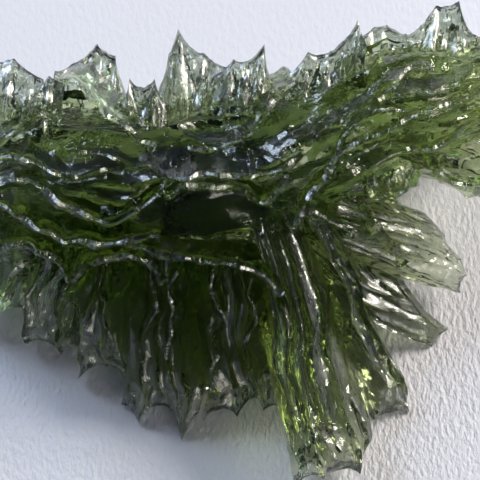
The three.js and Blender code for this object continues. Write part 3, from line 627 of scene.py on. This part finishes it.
def closing(count, per, ladder):
    """Triangles over the first and last rings. On a long thin ring they are a ladder between its two
    sides. On a round one they are a fan about a middle point, one for each end, after all the rings."""
    if ladder:
        j = np.arange((per - 1) // 2)
        rungs = [[j + 1, j, per - 1 - j], [per - 1 - j, per - 2 - j, j + 1]]
        first = np.concatenate([np.stack(rung, -1) for rung in rungs])
        first = first[first[:, 1] != first[:, 2]]
        return np.concatenate([first, first[:, ::-1] + (count - 1) * per])
    j = np.arange(per)
    after, last = (j + 1) % per, (count - 1) * per
    first = np.stack([np.full(per, count * per), after, j], -1)
    final = np.stack([np.full(per, count * per + 1), last + j, last + after], -1)
    return np.concatenate([first, final])


def skin(name, rings, flow, height, crinkle=0.0, ladder=False):
    """A closed skin over rings of points, rings[i, j]: a four-sided face between each point and its
    neighbours, and the ends closed, as a ladder or as fans. flow holds each point's place in mm along
    and down its form, and height its distance in mm from the crest. crinkle is how deep its etched
    cups are, from 0 to 1."""
    count, per, _ = rings.shape

    def listed(values):
        flat = values.reshape(count * per, -1)
        middles = [flat[:per].mean(0)[None], flat[-per:].mean(0)[None]]
        return flat if ladder else np.concatenate([flat, *middles])

    points = listed(rings)
    i, j = np.meshgrid(np.arange(count - 1), np.arange(per), indexing="ij")
    a, b = i * per + j, i * per + (j + 1) % per
    quads = np.stack([a, b, b + per, a + per], -1).reshape(-1, 4)
    ends = closing(count, per, ladder)
    if volume(points, np.concatenate([quads[:, :3], quads[:, [0, 2, 3]], ends])) < 0:
        quads, ends = quads[:, ::-1], ends[:, ::-1]
    corners = np.concatenate([quads.ravel(), ends.ravel()]).astype(np.int32)
    starts = np.concatenate([np.arange(len(quads)) * 4, len(quads) * 4 + np.arange(len(ends)) * 3])
    mesh = bpy.data.meshes.new(name)
    mesh.vertices.add(len(points))
    mesh.vertices.foreach_set("co", points.ravel())
    mesh.loops.add(len(corners))
    mesh.loops.foreach_set("vertex_index", corners)
    mesh.polygons.add(len(starts))
    mesh.polygons.foreach_set("loop_start", starts.astype(np.int32))
    mesh.update(calc_edges=True)
    mesh.uv_layers.new(name="flow").data.foreach_set("uv", listed(flow)[corners].astype(np.float32).ravel())
    crest = np.exp(-listed(height) / CREST_FADE).astype(np.float32)
    mesh.attributes.new("crest", "FLOAT", "POINT").data.foreach_set("value", crest.ravel())
    cups = np.full(len(points), crinkle, np.float32)
    mesh.attributes.new("crinkle", "FLOAT", "POINT").data.foreach_set("value", cups)
    return bpy.data.objects.new(name, mesh)


# ---- The forms ------------------------------------------------------------------------------------
BESIDE = 0.5  # ribs to either side over which a blade's direction is taken
ARC_SQUARENESS = 2.2  # 2 would make the arc between two ribs a parabola
ROW_CROWDING = 1.6  # how much closer a blade's rows are at its tip
WANDER_PITCH = 1.1  # mm between the dips and sways of a ridge's crest
DIP_BIAS = 0.5  # added to the noise of a crest, so that it dips more than it rises
SWAY_SHARE = 0.7  # of wander, to either side
NICK_PITCH = 0.5  # mm between the nicks of an edge
NICK_MEAN, NICK_SWELL = 0.6, 0.4  # shares of their depth: the mean, and how much it varies
NICK_RATE = 1.3  # radians of that swell to a mm
NICK_POWER, UNEVEN_POWER = 6, 4  # how close to the edge the nicks and its unevenness stay
EDGE_UNEVEN = 0.6  # share by which an edge's thickness varies
EDGE_PITCH = 0.7  # mm between its thick and thin places
EDGE_LEAST = 0.35  # half a blade's thickness at least, as a share of its edge's
LIP = 0.4  # how far the lip stands out from the edge, as a share of its thickness
COMB = 0.02  # depth of the fine combing, in mm
COMB_PITCH = 0.33
COMB_RISE = 0.5  # mm from the edge to where the combing is full
PLEAT_RISE = 0.4  # the same, for pleats
PLEAT_MOST = 0.7  # depth of a pleat at most, as a share of half the blade's thickness
SEED_STEP = 1.3  # from one form's seed to the next
BAR_SEED = 5
# The seed of the first form of each table.
FINGER_SEED, FRINGE_SEED, SAIL_SEED, RIDGE_SEED, RIB_SEED = 0, 10, 20, 40, 70

BAR_CENTRES = [station[:3] for station in BAR]
BAR_REACHES = [[0, station[3], station[4]] for station in BAR]


def bar():
    """An ellipse carried along the stations, hollowed between crests that wind along it, and pleated
    lengthwise: its radius is scaled by 1 - depth |sin(flutes angle / 2 + wind)|, and the pleats are
    added to it."""
    t = np.linspace(0, len(BAR) - 1, BAR_STEPS + 1)
    centre, reach = along(BAR_CENTRES, t), along(BAR_REACHES, t)
    angle = np.arange(BAR_TURNS) / BAR_TURNS * 2 * np.pi
    wind = BAR_TWIST * np.arange(BAR_STEPS + 1) / BAR_STEPS
    share = 1 - BAR_FLUTE_DEPTH * np.abs(np.sin(BAR_FLUTES * angle[None] / 2 + wind[:, None]))
    around = np.stack([np.cos(angle), np.sin(angle)])[:, None] + 0 * share
    across = around[0] * BAR_PLEATS + BAR_PLEAT_WIND * wind[:, None]
    rough = pleats(across, around[1] * BAR_PLEATS + centre[:, :1] / BAR_PLEAT_LENGTH, BAR_SEED)
    rough *= BAR_PLEAT * np.minimum(1, reach[:, 1:2] / BAR_PLEAT_FADE)
    out = np.stack([0 * share, reach[:, 1:2] * around[0], reach[:, 2:3] * around[1]], -1)
    rings = centre[:, None] + out * share[..., None]
    rings += unit(out) * (rough - 0.5 * BAR_PLEAT)[..., None]
    girth = BAR_GIRTH * np.repeat(angle[None], BAR_STEPS + 1, 0)
    flow = np.stack([girth, np.repeat(centre[:, :1], BAR_TURNS, 1)], -1)
    return skin("bar", warped(rings), flow, np.full(share.shape, FAR), crinkle=MASS_CRINKLE)


def facing(roots, tips, t):
    """Which way a blade's flank faces at each place: the way along it crossed with the way up it."""
    before, after = np.maximum(t - BESIDE, 0), np.minimum(t + BESIDE, len(roots) - 1)
    onward = along(roots, after) - along(roots, before) + along(tips, after) - along(tips, before)
    return unit(np.cross(onward, along(tips, t) - along(roots, t)))


def blade(name, ribs, thick, flare, flute, sag, body, edge, seed, bend=0.0, step=CREST_STEP,
          rows=CREST_ROWS, pleat=0.12, fold=0.9, draw=2.4, nick=0.08, comb=COMB, wander=0.0,
          crinkle=0.3, soft=PLEAT_SOFT):
    """A sheet between ribs, as the head of the tables says. Half its thickness at a share v of the way
    from root to tip is thick / 2 (1 - v)^flare (1 - flute arc) end + edge / 2 (1 + uneven), where arc
    is 0 at a rib and 1 half way to the next, end is 0 at the first and last ribs, and uneven is noise
    along the edge. The edge falls back by sag times arc, and dips and sways by up to wander; nicks of
    depth nick, which swell and fade along it, are cut in its last part. Fine combing of depth comb,
    and pleats of depth pleat, fold wide and draw times as long, are taken off the flanks. soft says
    how round the pleats are, and crinkle how deep the etched cups. bend is 0 on a flat sheet whose
    edge runs straight from tip to tip, and 1 on one that bends through them."""
    ribs = np.asarray(ribs, float)
    roots, tips = ribs[:, :3], ribs[:, 3:]
    cells = len(ribs) - 1
    spans = np.linalg.norm(np.diff(tips, axis=0), axis=1)
    per_cell = max(2, math.ceil(spans.mean() / step))
    t = np.linspace(0, cells, cells * per_cell + 1)
    cell = np.minimum(t.astype(int), cells - 1)
    part = (t - cell)[:, None]
    arc = 1 - np.abs(2 * (t - cell) - 1) ** ARC_SQUARENESS
    root = along(roots, t)
    tip = (1 - bend) * (tips[cell] * (1 - part) + tips[cell + 1] * part) + bend * along(tips, t)
    inward = unit(root - tip)
    steps = np.linalg.norm(np.diff(tip, axis=0), axis=1)
    across = np.concatenate([[0], np.cumsum(steps)])
    swell = NICK_MEAN + NICK_SWELL * np.sin(NICK_RATE * across + seed)
    nicks = nick * scallops(across, NICK_PITCH, seed) * swell
    tip = tip + inward * (sag * spans[cell] * arc)[:, None]
    v = (1 - (1 - np.linspace(0, 1, rows)) ** ROW_CROWDING)[None]
    level = unit(facing(roots, tips, np.arange(cells + 1.0)).sum(0))
    normal = unit((1 - bend) * level + bend * facing(roots, tips, t))
    drop, sway, rise = (grain(across / pitch, 0.0, int(10 * seed) + k)
                        for pitch, k in ((WANDER_PITCH, 3), (WANDER_PITCH, 4), (EDGE_PITCH, 5)))
    tip = tip + wander * ((drop + DIP_BIAS)[:, None] * inward + SWAY_SHARE * sway[:, None] * normal)
    uneven = EDGE_UNEVEN * rise[:, None] * v**UNEVEN_POWER
    end = np.sqrt(np.maximum(1 - np.abs(2 * t / cells - 1) ** body, 0))[:, None]
    height = np.linalg.norm(tip - root, axis=1)[:, None] * (1 - v)
    half = 0.5 * thick * (1 - v) ** flare * (1 - flute * arc)[:, None] * end + 0.5 * edge * (1 + uneven)
    combing = comb * (scallops(across, COMB_PITCH, seed + 1) - 0.5)[:, None]
    combing = combing * np.minimum(1, height / COMB_RISE)
    sides = []
    for side in (1, -1):
        folds = pleats(across[:, None] / fold, height / (draw * fold), int(10 * seed) + side, soft)
        deep = np.minimum(pleat, PLEAT_MOST * half) * np.minimum(1, height / PLEAT_RISE) * end
        sides.append(np.maximum(half - combing - deep * (1 - folds), EDGE_LEAST * edge))
    base = root[:, None] + (tip - root)[:, None] * v[..., None]
    base += inward[:, None] * (nicks[:, None] * v**NICK_POWER)[..., None]
    plus = base + normal[:, None] * sides[0][..., None]
    minus = base - normal[:, None] * sides[1][..., None]
    lip = (tip + inward * (nicks - LIP * edge)[:, None])[:, None]
    rings = np.concatenate([plus, lip, minus[:, ::-1]], axis=1)
    down = np.concatenate([height, 0 * height[:, :1], height[:, ::-1]], axis=1)
    place = np.stack([np.repeat(across[:, None], 2 * rows + 1, 1), down], -1)
    return skin(name, warped(rings), place, down, crinkle, ladder=True)


def ridge(name, crest, root, **rest):
    """A ridge is a blade whose ribs all point the same way."""
    crest = np.asarray(crest, float)
    return blade(name, np.hstack([crest + np.asarray(root, float), crest]), **RIDGE_SHAPE | rest)


def rest_depth(y):
    """How far behind the stone frame's origin the resting surface lies, at a height y on the face."""
    return (REST_HEIGHT + y * math.sin(FACE_TILT)) / math.cos(FACE_TILT)


def under_ridge(row, place):
    """One ridge of the underside, which stops near the resting surface. Sines of its row and place
    make its height, its line and its foot uneven."""
    lane = UNDER_SPREAD * (2 * row / (UNDER_ROWS - 1) - 1)
    i = np.arange(UNDER_STATIONS)
    t = UNDER_START + UNDER_PITCH * place + UNDER_STEP * i + UNDER_STAGGER * (row % 2)
    centre, reach = along(BAR_CENTRES, t), along(BAR_REACHES, t)
    y = centre[:, 1] + lane * reach[:, 1] + UNDER_SWAY * np.sin(1.7 * i + row + 2 * place)
    height = UNDER_HEIGHT + UNDER_DIP * np.sin(2.3 * i + 1.9 * row + place)
    z = centre[:, 2] - reach[:, 2] * math.sqrt(1 - lane * lane) - height
    z = np.maximum(z, UNDER_CLEAR * np.sin(3 * i + row) - rest_depth(y))
    crest = np.column_stack([centre[:, 0], y, z])
    return ridge(f"under_{row}_{place}", crest, wander=0.0, step=UNDER_FINE_STEP, rows=UNDER_FINE_ROWS,
                 seed=row + 3.1 * place, **UNDER_CREST)


def lump(name, spec):
    """An ellipsoid with its poles along y, turned about z: (rx sin a cos b, ry cos a, rz sin a sin b)."""
    x, y, z, rx, ry, rz, turn = spec
    a = np.linspace(0, np.pi, LUMP_RINGS + 1)[1:-1, None]
    b = (np.arange(LUMP_TURNS) / LUMP_TURNS * 2 * np.pi)[None]
    ball = np.stack([rx * np.sin(a) * np.cos(b), ry * np.cos(a) + 0 * b, rz * np.sin(a) * np.sin(b)], -1)
    c, s = math.cos(math.radians(turn)), math.sin(math.radians(turn))
    turned = ball @ np.array([[c, s, 0], [-s, c, 0], [0, 0, 1]]) + [x, y, z]
    far = np.full(turned.shape[:2], FAR)
    return skin(name, turned, turned[..., :2], far, crinkle=MASS_CRINKLE)


# ---- The stone ------------------------------------------------------------------------------------
# What the blades of each table share: how fine their mesh is, and how their skins are etched, as the
# arguments of blade().
FINGER_SKIN = {
    "edge": 0.9, "flute": 0.15, "pleat": 0.5, "fold": 5.0, "draw": 0.7, "comb": 0.0, "crinkle": 0.65,
    "soft": 0.15, "step": FINGER_STEP, "rows": FINGER_ROWS,
}
FRINGE_SKIN = {
    "edge": 0.3, "flute": 0.2, "pleat": 0.4, "fold": 1.8, "draw": 1.0, "comb": 0.0, "crinkle": 0.6,
    "step": FINGER_STEP, "rows": FINGER_ROWS,
}
SAIL_SKIN = {
    "edge": 0.5, "pleat": 0.5, "fold": 0.9, "draw": 1.3, "nick": 0.1, "crinkle": 1.0, "rows": SAIL_ROWS,
}
RIDGE_SHAPE = {
    "edge": 0.34, "flute": 0.35, "flare": 1.25, "sag": 0.18, "body": 6, "bend": 1.0, "wander": 0.25,
}
MASS_CRINKLE = 0.5  # of the bar and the lumps
SHARP = math.radians(38)  # where two faces meet at more than this, the edge shows
BLOCK = 50.0  # half the side of the block that cuts the stone off level, in mm
BLOCK_DEPTH = 20.0


def formed(make, table, seed, shared):
    """A form for each line of a table, each with a seed of its own. A form's own values stand before
    those that it shares."""
    return [
        make(name, seed=seed + SEED_STEP * i, **shared | form)
        for i, (name, form) in enumerate(table.items())
    ]


def joined(target, others, operation):
    """Adds a boolean modifier that joins the other forms to the target, or cuts them from it."""
    group = bpy.data.collections.new(f"{target.name}_{operation.lower()}")
    bpy.context.scene.collection.children.link(group)
    for other in others:
        group.objects.link(other)
    modifier = target.modifiers.new(operation.title(), "BOOLEAN")
    modifier.operation = operation
    modifier.solver = "MANIFOLD"
    modifier.operand_type = "COLLECTION"
    modifier.collection = group
    return group


def stone_mesh():
    """The bar, fingers and fringe joined, the scoops cut, the relief joined, all leaned back by the
    face's tilt, and what is below the resting surface cut off level."""
    before = set(bpy.data.objects)
    target = bar()
    bpy.context.scene.collection.objects.link(target)
    mass = [
        *formed(blade, FINGERS, FINGER_SEED, FINGER_SKIN),
        *formed(blade, FRINGE, FRINGE_SEED, FRINGE_SKIN),
        lump("apron", APRON),
    ]
    fan_ribs = {name: {"crest": crest} for name, crest in FAN_RIBS.items()}
    relief = [
        *formed(blade, SAILS, SAIL_SEED, SAIL_SKIN),
        *formed(ridge, RIDGES, RIDGE_SEED, {}),
        *formed(ridge, fan_ribs, RIB_SEED, FAN_RIB),
        *(under_ridge(row, place) for row in range(UNDER_ROWS) for place in range(UNDER_RIDGES)),
        lump("foot", FOOT),
    ]
    lean = Matrix.Translation((0, 0, REST_HEIGHT)) @ Matrix.Rotation(FACE_TILT, 4, "X")
    corners = ((-BLOCK, -BLOCK), (BLOCK, -BLOCK), (BLOCK, BLOCK), (-BLOCK, BLOCK))
    faces = np.array([[[x, y, z] for x, y in corners] for z in (0.0, -BLOCK_DEPTH)])
    below = skin("below", faces, np.zeros((2, 4, 2)), np.full((2, 4), FAR))
    below.data.transform(lean.inverted())
    groups = [
        joined(target, mass, "UNION"),
        joined(target, [lump(name, spec) for name, spec in SCOOPS.items()], "DIFFERENCE"),
        joined(target, relief, "UNION"),
        joined(target, [below], "DIFFERENCE"),
    ]
    graph = bpy.context.evaluated_depsgraph_get()
    mesh = bpy.data.meshes.new_from_object(target.evaluated_get(graph), depsgraph=graph)
    mesh.transform(Matrix.Scale(MM, 4) @ lean)
    for made in set(bpy.data.objects) - before:
        bpy.data.objects.remove(made)
    for group in groups:
        bpy.data.collections.remove(group)
    return mesh


# ---- Materials ------------------------------------------------------------------------------------
# The glass's etching. Ripples follow the forms, and are in lumps a mm across the flow and along it. The
# other patterns are in lumps a metre. Depths are in metres.
RIPPLES = (4.6, 0.6, 1.0)
RIPPLE_DEPTH = 0.00006
RIPPLE_SWELL = 2.2  # how much deeper the ripples are on a crest; they are gone away from one
PITS = 1900.0
PIT_DEPTH = 0.00007
PIT_SWELL = (0.25, 1.6)  # how deep the pits are outside the patches and in them, as a share
CUPS = 1200.0
CUP_DEPTH = 0.0004
PATCHES = 330.0
ROUGHNESS = (0.02, 0.16)  # away from a crest and on one
# The frost is a pale coat: thick in dashes along the crests and on the sails, and thin in clouds.
FROST_TINT = (0.64, 0.68, 0.61)
FROST_ROUGHNESS = 0.3
FROST_IOR = 2.15
FROST_LEAST = 0.15  # share of it left between the patches and between the pits
CLOUD_MOST = 0.12
# The values of a pattern between which each effect grows.
ROUGH_CRESTS = (0.25, 0.95)
FROSTED_CRESTS = (0.25, 0.6)
FROSTED_RIPPLES = (0.46, 0.6)
FROSTED_PATCHES = (0.38, 0.55)
FROSTED_PITS = (0.3, 0.6)
FROSTED_CRINKLES = (0.45, 1.0)
CLOUDED_PATCHES = (0.5, 0.68)
PITTED_PATCHES = (0.4, 0.65)
WHOLE = (0.0, 1.0)  # of an effect, or of a pattern

TOOTH = (3600.0, 1900.0, 1.0)  # lumps a metre in the paper's tooth, across its grain and along it
TOOTH_TURN = (0, 0, -0.45)  # radians
TOOTH_DEPTH = 0.00014
TOOTH_WORN = (-0.008, 0.012)  # metres along Y over which the tooth wears down
TOOTH_LEFT = 0.2  # share of it left there
PAPER_ROUGHNESS = 0.9


def fill(made, **settings):
    """Sets a node's inputs by name: each one to a value, or linked to another node's output."""
    for name, value in settings.items():
        into = made.inputs[name.replace("_", " ")]
        if isinstance(value, bpy.types.NodeSocket):
            made.id_data.links.new(value, into)
        else:
            into.default_value = value


def node(tree, kind, place, **settings):
    """A node of a kind at a place, with its inputs filled."""
    made = tree.nodes.new(kind)
    made.location = place
    fill(made, **settings)
    return made


def attribute(tree, place, name):
    made = node(tree, "ShaderNodeAttribute", place)
    made.attribute_name = name
    return made.outputs["Fac"]


def noise(tree, place, vector, scale, detail, roughness):
    return node(tree, "ShaderNodeTexNoise", place, Vector=vector, Scale=scale, Detail=detail,
                Roughness=roughness).outputs["Fac"]


def ranged(tree, place, value, over, to=WHOLE):
    """A value that goes from one end of a range to the other as another crosses a range of its own."""
    return node(tree, "ShaderNodeMapRange", place, Value=value, From_Min=over[0], From_Max=over[1],
                To_Min=to[0], To_Max=to[1]).outputs["Result"]


def combined(tree, how, place, one, other):
    """Two values multiplied, or the greater of the two."""
    made = node(tree, "ShaderNodeMath", place)
    made.operation = how
    tree.links.new(one, made.inputs[0])
    tree.links.new(other, made.inputs[1])
    return made.outputs["Value"]


def bumped(tree, place, height, depth, **under):
    """A normal tilted by a height, on top of the one under it."""
    return node(tree, "ShaderNodeBump", place, Strength=1.0, Distance=depth, Height=height,
                **under).outputs["Normal"]


def blank_material(name):
    material = bpy.data.materials.new(name)
    material.use_nodes = True
    tree = material.node_tree
    tree.nodes.clear()
    surface = node(tree, "ShaderNodeBsdfPrincipled", (600, 0))
    output = node(tree, "ShaderNodeOutputMaterial", (900, 0), Surface=surface.outputs["BSDF"])
    return material, tree, surface, output


def glass_material(settings):
    """Clear green glass. Its colour grows with depth by plain absorption. Crests are rougher, and combed
    with ripples that run down from them; the skin is pitted and cupped; and frost lies over both."""
    material, tree, surface, output = blank_material(SLOT)
    crest = attribute(tree, (-900, 300), "crest")
    crinkle = attribute(tree, (-900, -900), "crinkle")
    flow = node(tree, "ShaderNodeUVMap", (-1100, 0))
    flow.uv_map = "flow"
    place = node(tree, "ShaderNodeTexCoord", (-1100, -300)).outputs["Object"]

    stretch = node(tree, "ShaderNodeMapping", (-900, 0), Vector=flow.outputs["UV"], Scale=RIPPLES)
    ripples = noise(tree, (-600, 0), stretch.outputs["Vector"], 1.0, 2.0, 0.6)
    pits = noise(tree, (-600, -300), place, PITS, 3.0, 0.55)
    patches = noise(tree, (-900, -500), place, PATCHES, 1.0, 0.5)
    cups = node(tree, "ShaderNodeTexVoronoi", (-600, -750), Vector=place, Scale=CUPS)

    combing = ranged(tree, (-600, 150), crest, WHOLE, (0.0, RIPPLE_SWELL))
    combed = combined(tree, "MULTIPLY", (-300, 100), ripples, combing)
    normal = bumped(tree, (0, 0), combed, RIPPLE_DEPTH)
    pitting = ranged(tree, (-600, -500), patches, PITTED_PATCHES, PIT_SWELL)
    pitted = combined(tree, "MULTIPLY", (-300, -300), pits, pitting)
    normal = bumped(tree, (150, -100), pitted, PIT_DEPTH, Normal=normal)
    depth = combined(tree, "MULTIPLY", (-600, -950), crinkle, crinkle)
    cupped = combined(tree, "MULTIPLY", (-300, -750), cups.outputs["Distance"], depth)
    normal = bumped(tree, (350, -150), cupped, CUP_DEPTH, Normal=normal)

    dashes = ranged(tree, (-300, 500), ripples, FROSTED_RIPPLES)
    band = ranged(tree, (-600, 600), crest, FROSTED_CRESTS)
    frosted = combined(tree, "MULTIPLY", (-100, 500), dashes, band)
    here = ranged(tree, (-300, 350), patches, FROSTED_PATCHES, (FROST_LEAST, 1.0))
    frosted = combined(tree, "MULTIPLY", (0, 450), frosted, here)
    weathered = ranged(tree, (-600, 850), crinkle, FROSTED_CRINKLES)
    mottled = ranged(tree, (-300, 850), pits, FROSTED_PITS, (FROST_LEAST, 1.0))
    skinned = combined(tree, "MULTIPLY", (-100, 700), weathered, mottled)
    clouded = ranged(tree, (-300, 1050), patches, CLOUDED_PATCHES, (0.0, CLOUD_MOST))
    coat = combined(tree, "MAXIMUM", (100, 600), frosted, skinned)
    coat = combined(tree, "MAXIMUM", (250, 600), coat, clouded)

    fill(surface, Base_Color=(1, 1, 1, 1), Transmission_Weight=1.0, IOR=settings.refraction,
         Roughness=ranged(tree, (-600, 300), crest, ROUGH_CRESTS, ROUGHNESS), Normal=normal,
         Coat_Weight=coat, Coat_Tint=(*FROST_TINT, 1), Coat_Roughness=FROST_ROUGHNESS,
         Coat_IOR=FROST_IOR)
    inside = node(tree, "ShaderNodeVolumeAbsorption", (600, -500),
                  Color=(*settings.glass_colour, 1), Density=settings.depth_of_colour)
    fill(output, Volume=inside.outputs["Volume"])
    return material


def paper_material(settings):
    """Pale paper with a fine tooth, which is worn flat towards the back."""
    material, tree, surface, _ = blank_material("paper")
    place = node(tree, "ShaderNodeTexCoord", (-900, 0)).outputs["Object"]
    weave = node(tree, "ShaderNodeMapping", (-750, -200), Vector=place, Scale=TOOTH, Rotation=TOOTH_TURN)
    tooth = noise(tree, (-600, -200), weave.outputs["Vector"], 1.0, 2.0, 0.5)
    parts = node(tree, "ShaderNodeSeparateXYZ", (-750, 100), Vector=place)
    worn = ranged(tree, (-600, 100), parts.outputs["Y"], TOOTH_WORN, (1.0, TOOTH_LEFT))
    raised = combined(tree, "MULTIPLY", (-400, -100), tooth, worn)
    fill(surface, Base_Color=(*settings.paper_colour, 1), Roughness=PAPER_ROUGHNESS,
         Normal=bumped(tree, (-200, -200), raised, TOOTH_DEPTH))
    return material


# ---- The stage ------------------------------------------------------------------------------------
# Soft boxes: name, place, side in metres, watts, colour. Each one faces the stone.
SOFT_BOXES = (
    ("window", (-0.30, 0.36, 0.30), 0.26, 2.8, (0.66, 0.79, 1.0)),
    ("lamp", (0.36, 0.18, 0.20), 0.20, 2.9, (1.0, 0.95, 0.87)),
    ("front_fill", (0.28, -0.42, 0.12), 0.20, 0.7, (1.0, 0.93, 0.82)),
)
LIGHT_BOUNCES = 24
LOOK_AT = Vector((0, 0, 0.0045))
CAMERA_HEIGHT = math.radians(72)  # above the horizon
CAMERA_DISTANCE = 0.24
CAMERA_LENS = 300.0  # mm
CAMERA_SENSOR = 36.0  # mm
CAMERA_NEAR = 0.01  # the nearest that it sees, in metres
SKY_LOW = (0.46, 0.53, 0.84)
SKY_HIGH = (0.03, 0.035, 0.045)
SKY_TOP = 0.5  # height of a direction, from 0 at the horizon to 1 overhead, from which it is SKY_HIGH
DIM_SIDE = (0.6, 0.8, 0.0)  # the way to the back right, where the surround is darkest
DIM_SPREAD = (-0.2, 0.6)  # how nearly a direction points there as it starts to dim, and when it is dim
DIM_MOST = 0.75  # how far it goes from SKY_LOW to SKY_HIGH there


def aimed(made, way):
    """Turns a light or a camera to look along a direction."""
    made.rotation_euler = way.to_track_quat("-Z", "Y").to_euler()


def soft_box(name, place, side, power, colour):
    light = bpy.data.lights.new(name, "AREA")
    light.size, light.energy, light.color = side, power, colour
    box = bpy.data.objects.new(name, light)
    box.location = place
    aimed(box, LOOK_AT - Vector(place))
    return box


def overhead_camera():
    lens = bpy.data.cameras.new("camera")
    lens.lens, lens.sensor_width, lens.clip_start = CAMERA_LENS, CAMERA_SENSOR, CAMERA_NEAR
    camera = bpy.data.objects.new("camera", lens)
    back = Vector((0, -math.cos(CAMERA_HEIGHT), math.sin(CAMERA_HEIGHT)))
    camera.location = LOOK_AT + CAMERA_DISTANCE * back
    aimed(camera, -back)
    return camera


def studio_sky():
    """A surround that is pale low down at the front left, and darkens towards the back right and
    towards straight overhead, as under a camera."""
    world = bpy.data.worlds.new("studio")
    world.use_nodes = True
    tree = world.node_tree
    way = node(tree, "ShaderNodeTexCoord", (-1000, 0)).outputs["Generated"]
    parts = node(tree, "ShaderNodeSeparateXYZ", (-800, 100), Vector=way)
    up = ranged(tree, (-600, 100), parts.outputs["Z"], (0.0, SKY_TOP))
    facing_dim = node(tree, "ShaderNodeVectorMath", (-800, -200))
    facing_dim.operation = "DOT_PRODUCT"
    tree.links.new(way, facing_dim.inputs[0])
    facing_dim.inputs[1].default_value = DIM_SIDE
    dim = ranged(tree, (-600, -200), facing_dim.outputs["Value"], DIM_SPREAD, (0.0, DIM_MOST))
    darker = combined(tree, "MAXIMUM", (-400, 0), up, dim)
    ramp = node(tree, "ShaderNodeValToRGB", (-200, 0), Fac=darker)
    for element, colour in zip(ramp.color_ramp.elements, (SKY_LOW, SKY_HIGH)):
        element.color = (*colour, 1)
    fill(tree.nodes["Background"], Color=ramp.outputs["Color"])
    return world


# ---- Settings, operators and panel ----------------------------------------------------------------
class MoldaviteStoneSettings(bpy.types.PropertyGroup):
    glass_colour: bpy.props.FloatVectorProperty(
        name="Glass colour", description="Colour that the glass's absorption leaves",
        subtype="COLOR", size=3, min=0, max=1, default=(0.40, 0.51, 0.01))
    depth_of_colour: bpy.props.FloatProperty(
        name="Depth of colour", description="Absorption for each metre of glass",
        min=0, default=425.0)
    refraction: bpy.props.FloatProperty(
        name="Refraction", description="Index of refraction of the glass", min=1, max=2, default=1.49)


class MoldaviteStageSettings(bpy.types.PropertyGroup):
    paper_colour: bpy.props.FloatVectorProperty(
        name="Paper", description="Colour of the paper", subtype="COLOR", size=3, min=0, max=1,
        default=(0.75, 0.745, 0.78))
    paper_size: bpy.props.FloatProperty(
        name="Paper size", description="Side of the square sheet", unit="LENGTH", default=3.0)


class MOLDAVITE_OT_stone(bpy.types.Operator):
    """Make the etched glass stone"""

    bl_idname = "moldavite.stone"
    bl_label = "Stone"

    def execute(self, context):
        mesh = stone_mesh()
        mesh.name = "etched_stone"
        mesh.materials.clear()
        mesh.materials.append(glass_material(context.scene.moldavite_stone))
        mesh.shade_smooth()
        mesh.set_sharp_from_angle(angle=SHARP)
        stone = bpy.data.objects.new("etched_stone", mesh)
        context.scene.collection.objects.link(stone)
        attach(stone, "root")
        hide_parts(NODE)
        return {"FINISHED"}


class MOLDAVITE_OT_stage(bpy.types.Operator):
    """Lay the paper and set the lights and the camera"""

    bl_idname = "moldavite.stage"
    bl_label = "Stage"

    def execute(self, context):
        scene = context.scene
        settings = scene.moldavite_stage
        half = settings.paper_size / 2
        mesh = bpy.data.meshes.new("paper")
        corners = [(-half, -half, 0), (half, -half, 0), (half, half, 0), (-half, half, 0)]
        mesh.from_pydata(corners, [], [(0, 1, 2, 3)])
        mesh.materials.append(paper_material(settings))
        paper = bpy.data.objects.new("paper", mesh)
        scene.collection.objects.link(paper)
        for values in SOFT_BOXES:
            scene.collection.objects.link(soft_box(*values))
        scene.world = studio_sky()
        scene.camera = overhead_camera()
        scene.collection.objects.link(scene.camera)
        scene.view_settings.view_transform = "Standard"
        scene.cycles.max_bounces = LIGHT_BOUNCES
        scene.cycles.transmission_bounces = LIGHT_BOUNCES
        return {"FINISHED"}


class MOLDAVITE_PT_panel(bpy.types.Panel):
    bl_idname = "MOLDAVITE_PT_panel"
    bl_label = "Moldavite"
    bl_space_type = "VIEW_3D"
    bl_region_type = "UI"
    bl_category = "Moldavite"

    def draw(self, context):
        for settings in (context.scene.moldavite_stone, context.scene.moldavite_stage):
            for name in settings.__annotations__:
                self.layout.prop(settings, name)
        for operator in (MOLDAVITE_OT_stone, MOLDAVITE_OT_stage):
            self.layout.operator(operator.bl_idname)


CLASSES = (
    MoldaviteStoneSettings,
    MoldaviteStageSettings,
    MOLDAVITE_OT_stone,
    MOLDAVITE_OT_stage,
    MOLDAVITE_PT_panel,
)


def register():
    for made in CLASSES:
        bpy.utils.register_class(made)
    bpy.types.Scene.moldavite_stone = bpy.props.PointerProperty(type=MoldaviteStoneSettings)
    bpy.types.Scene.moldavite_stage = bpy.props.PointerProperty(type=MoldaviteStageSettings)


def unregister():
    del bpy.types.Scene.moldavite_stage
    del bpy.types.Scene.moldavite_stone
    for made in reversed(CLASSES):
        bpy.utils.unregister_class(made)


def main():
    register()
    bpy.ops.moldavite.stone()
    bpy.ops.moldavite.stage()


if __name__ == "__main__":
    main()
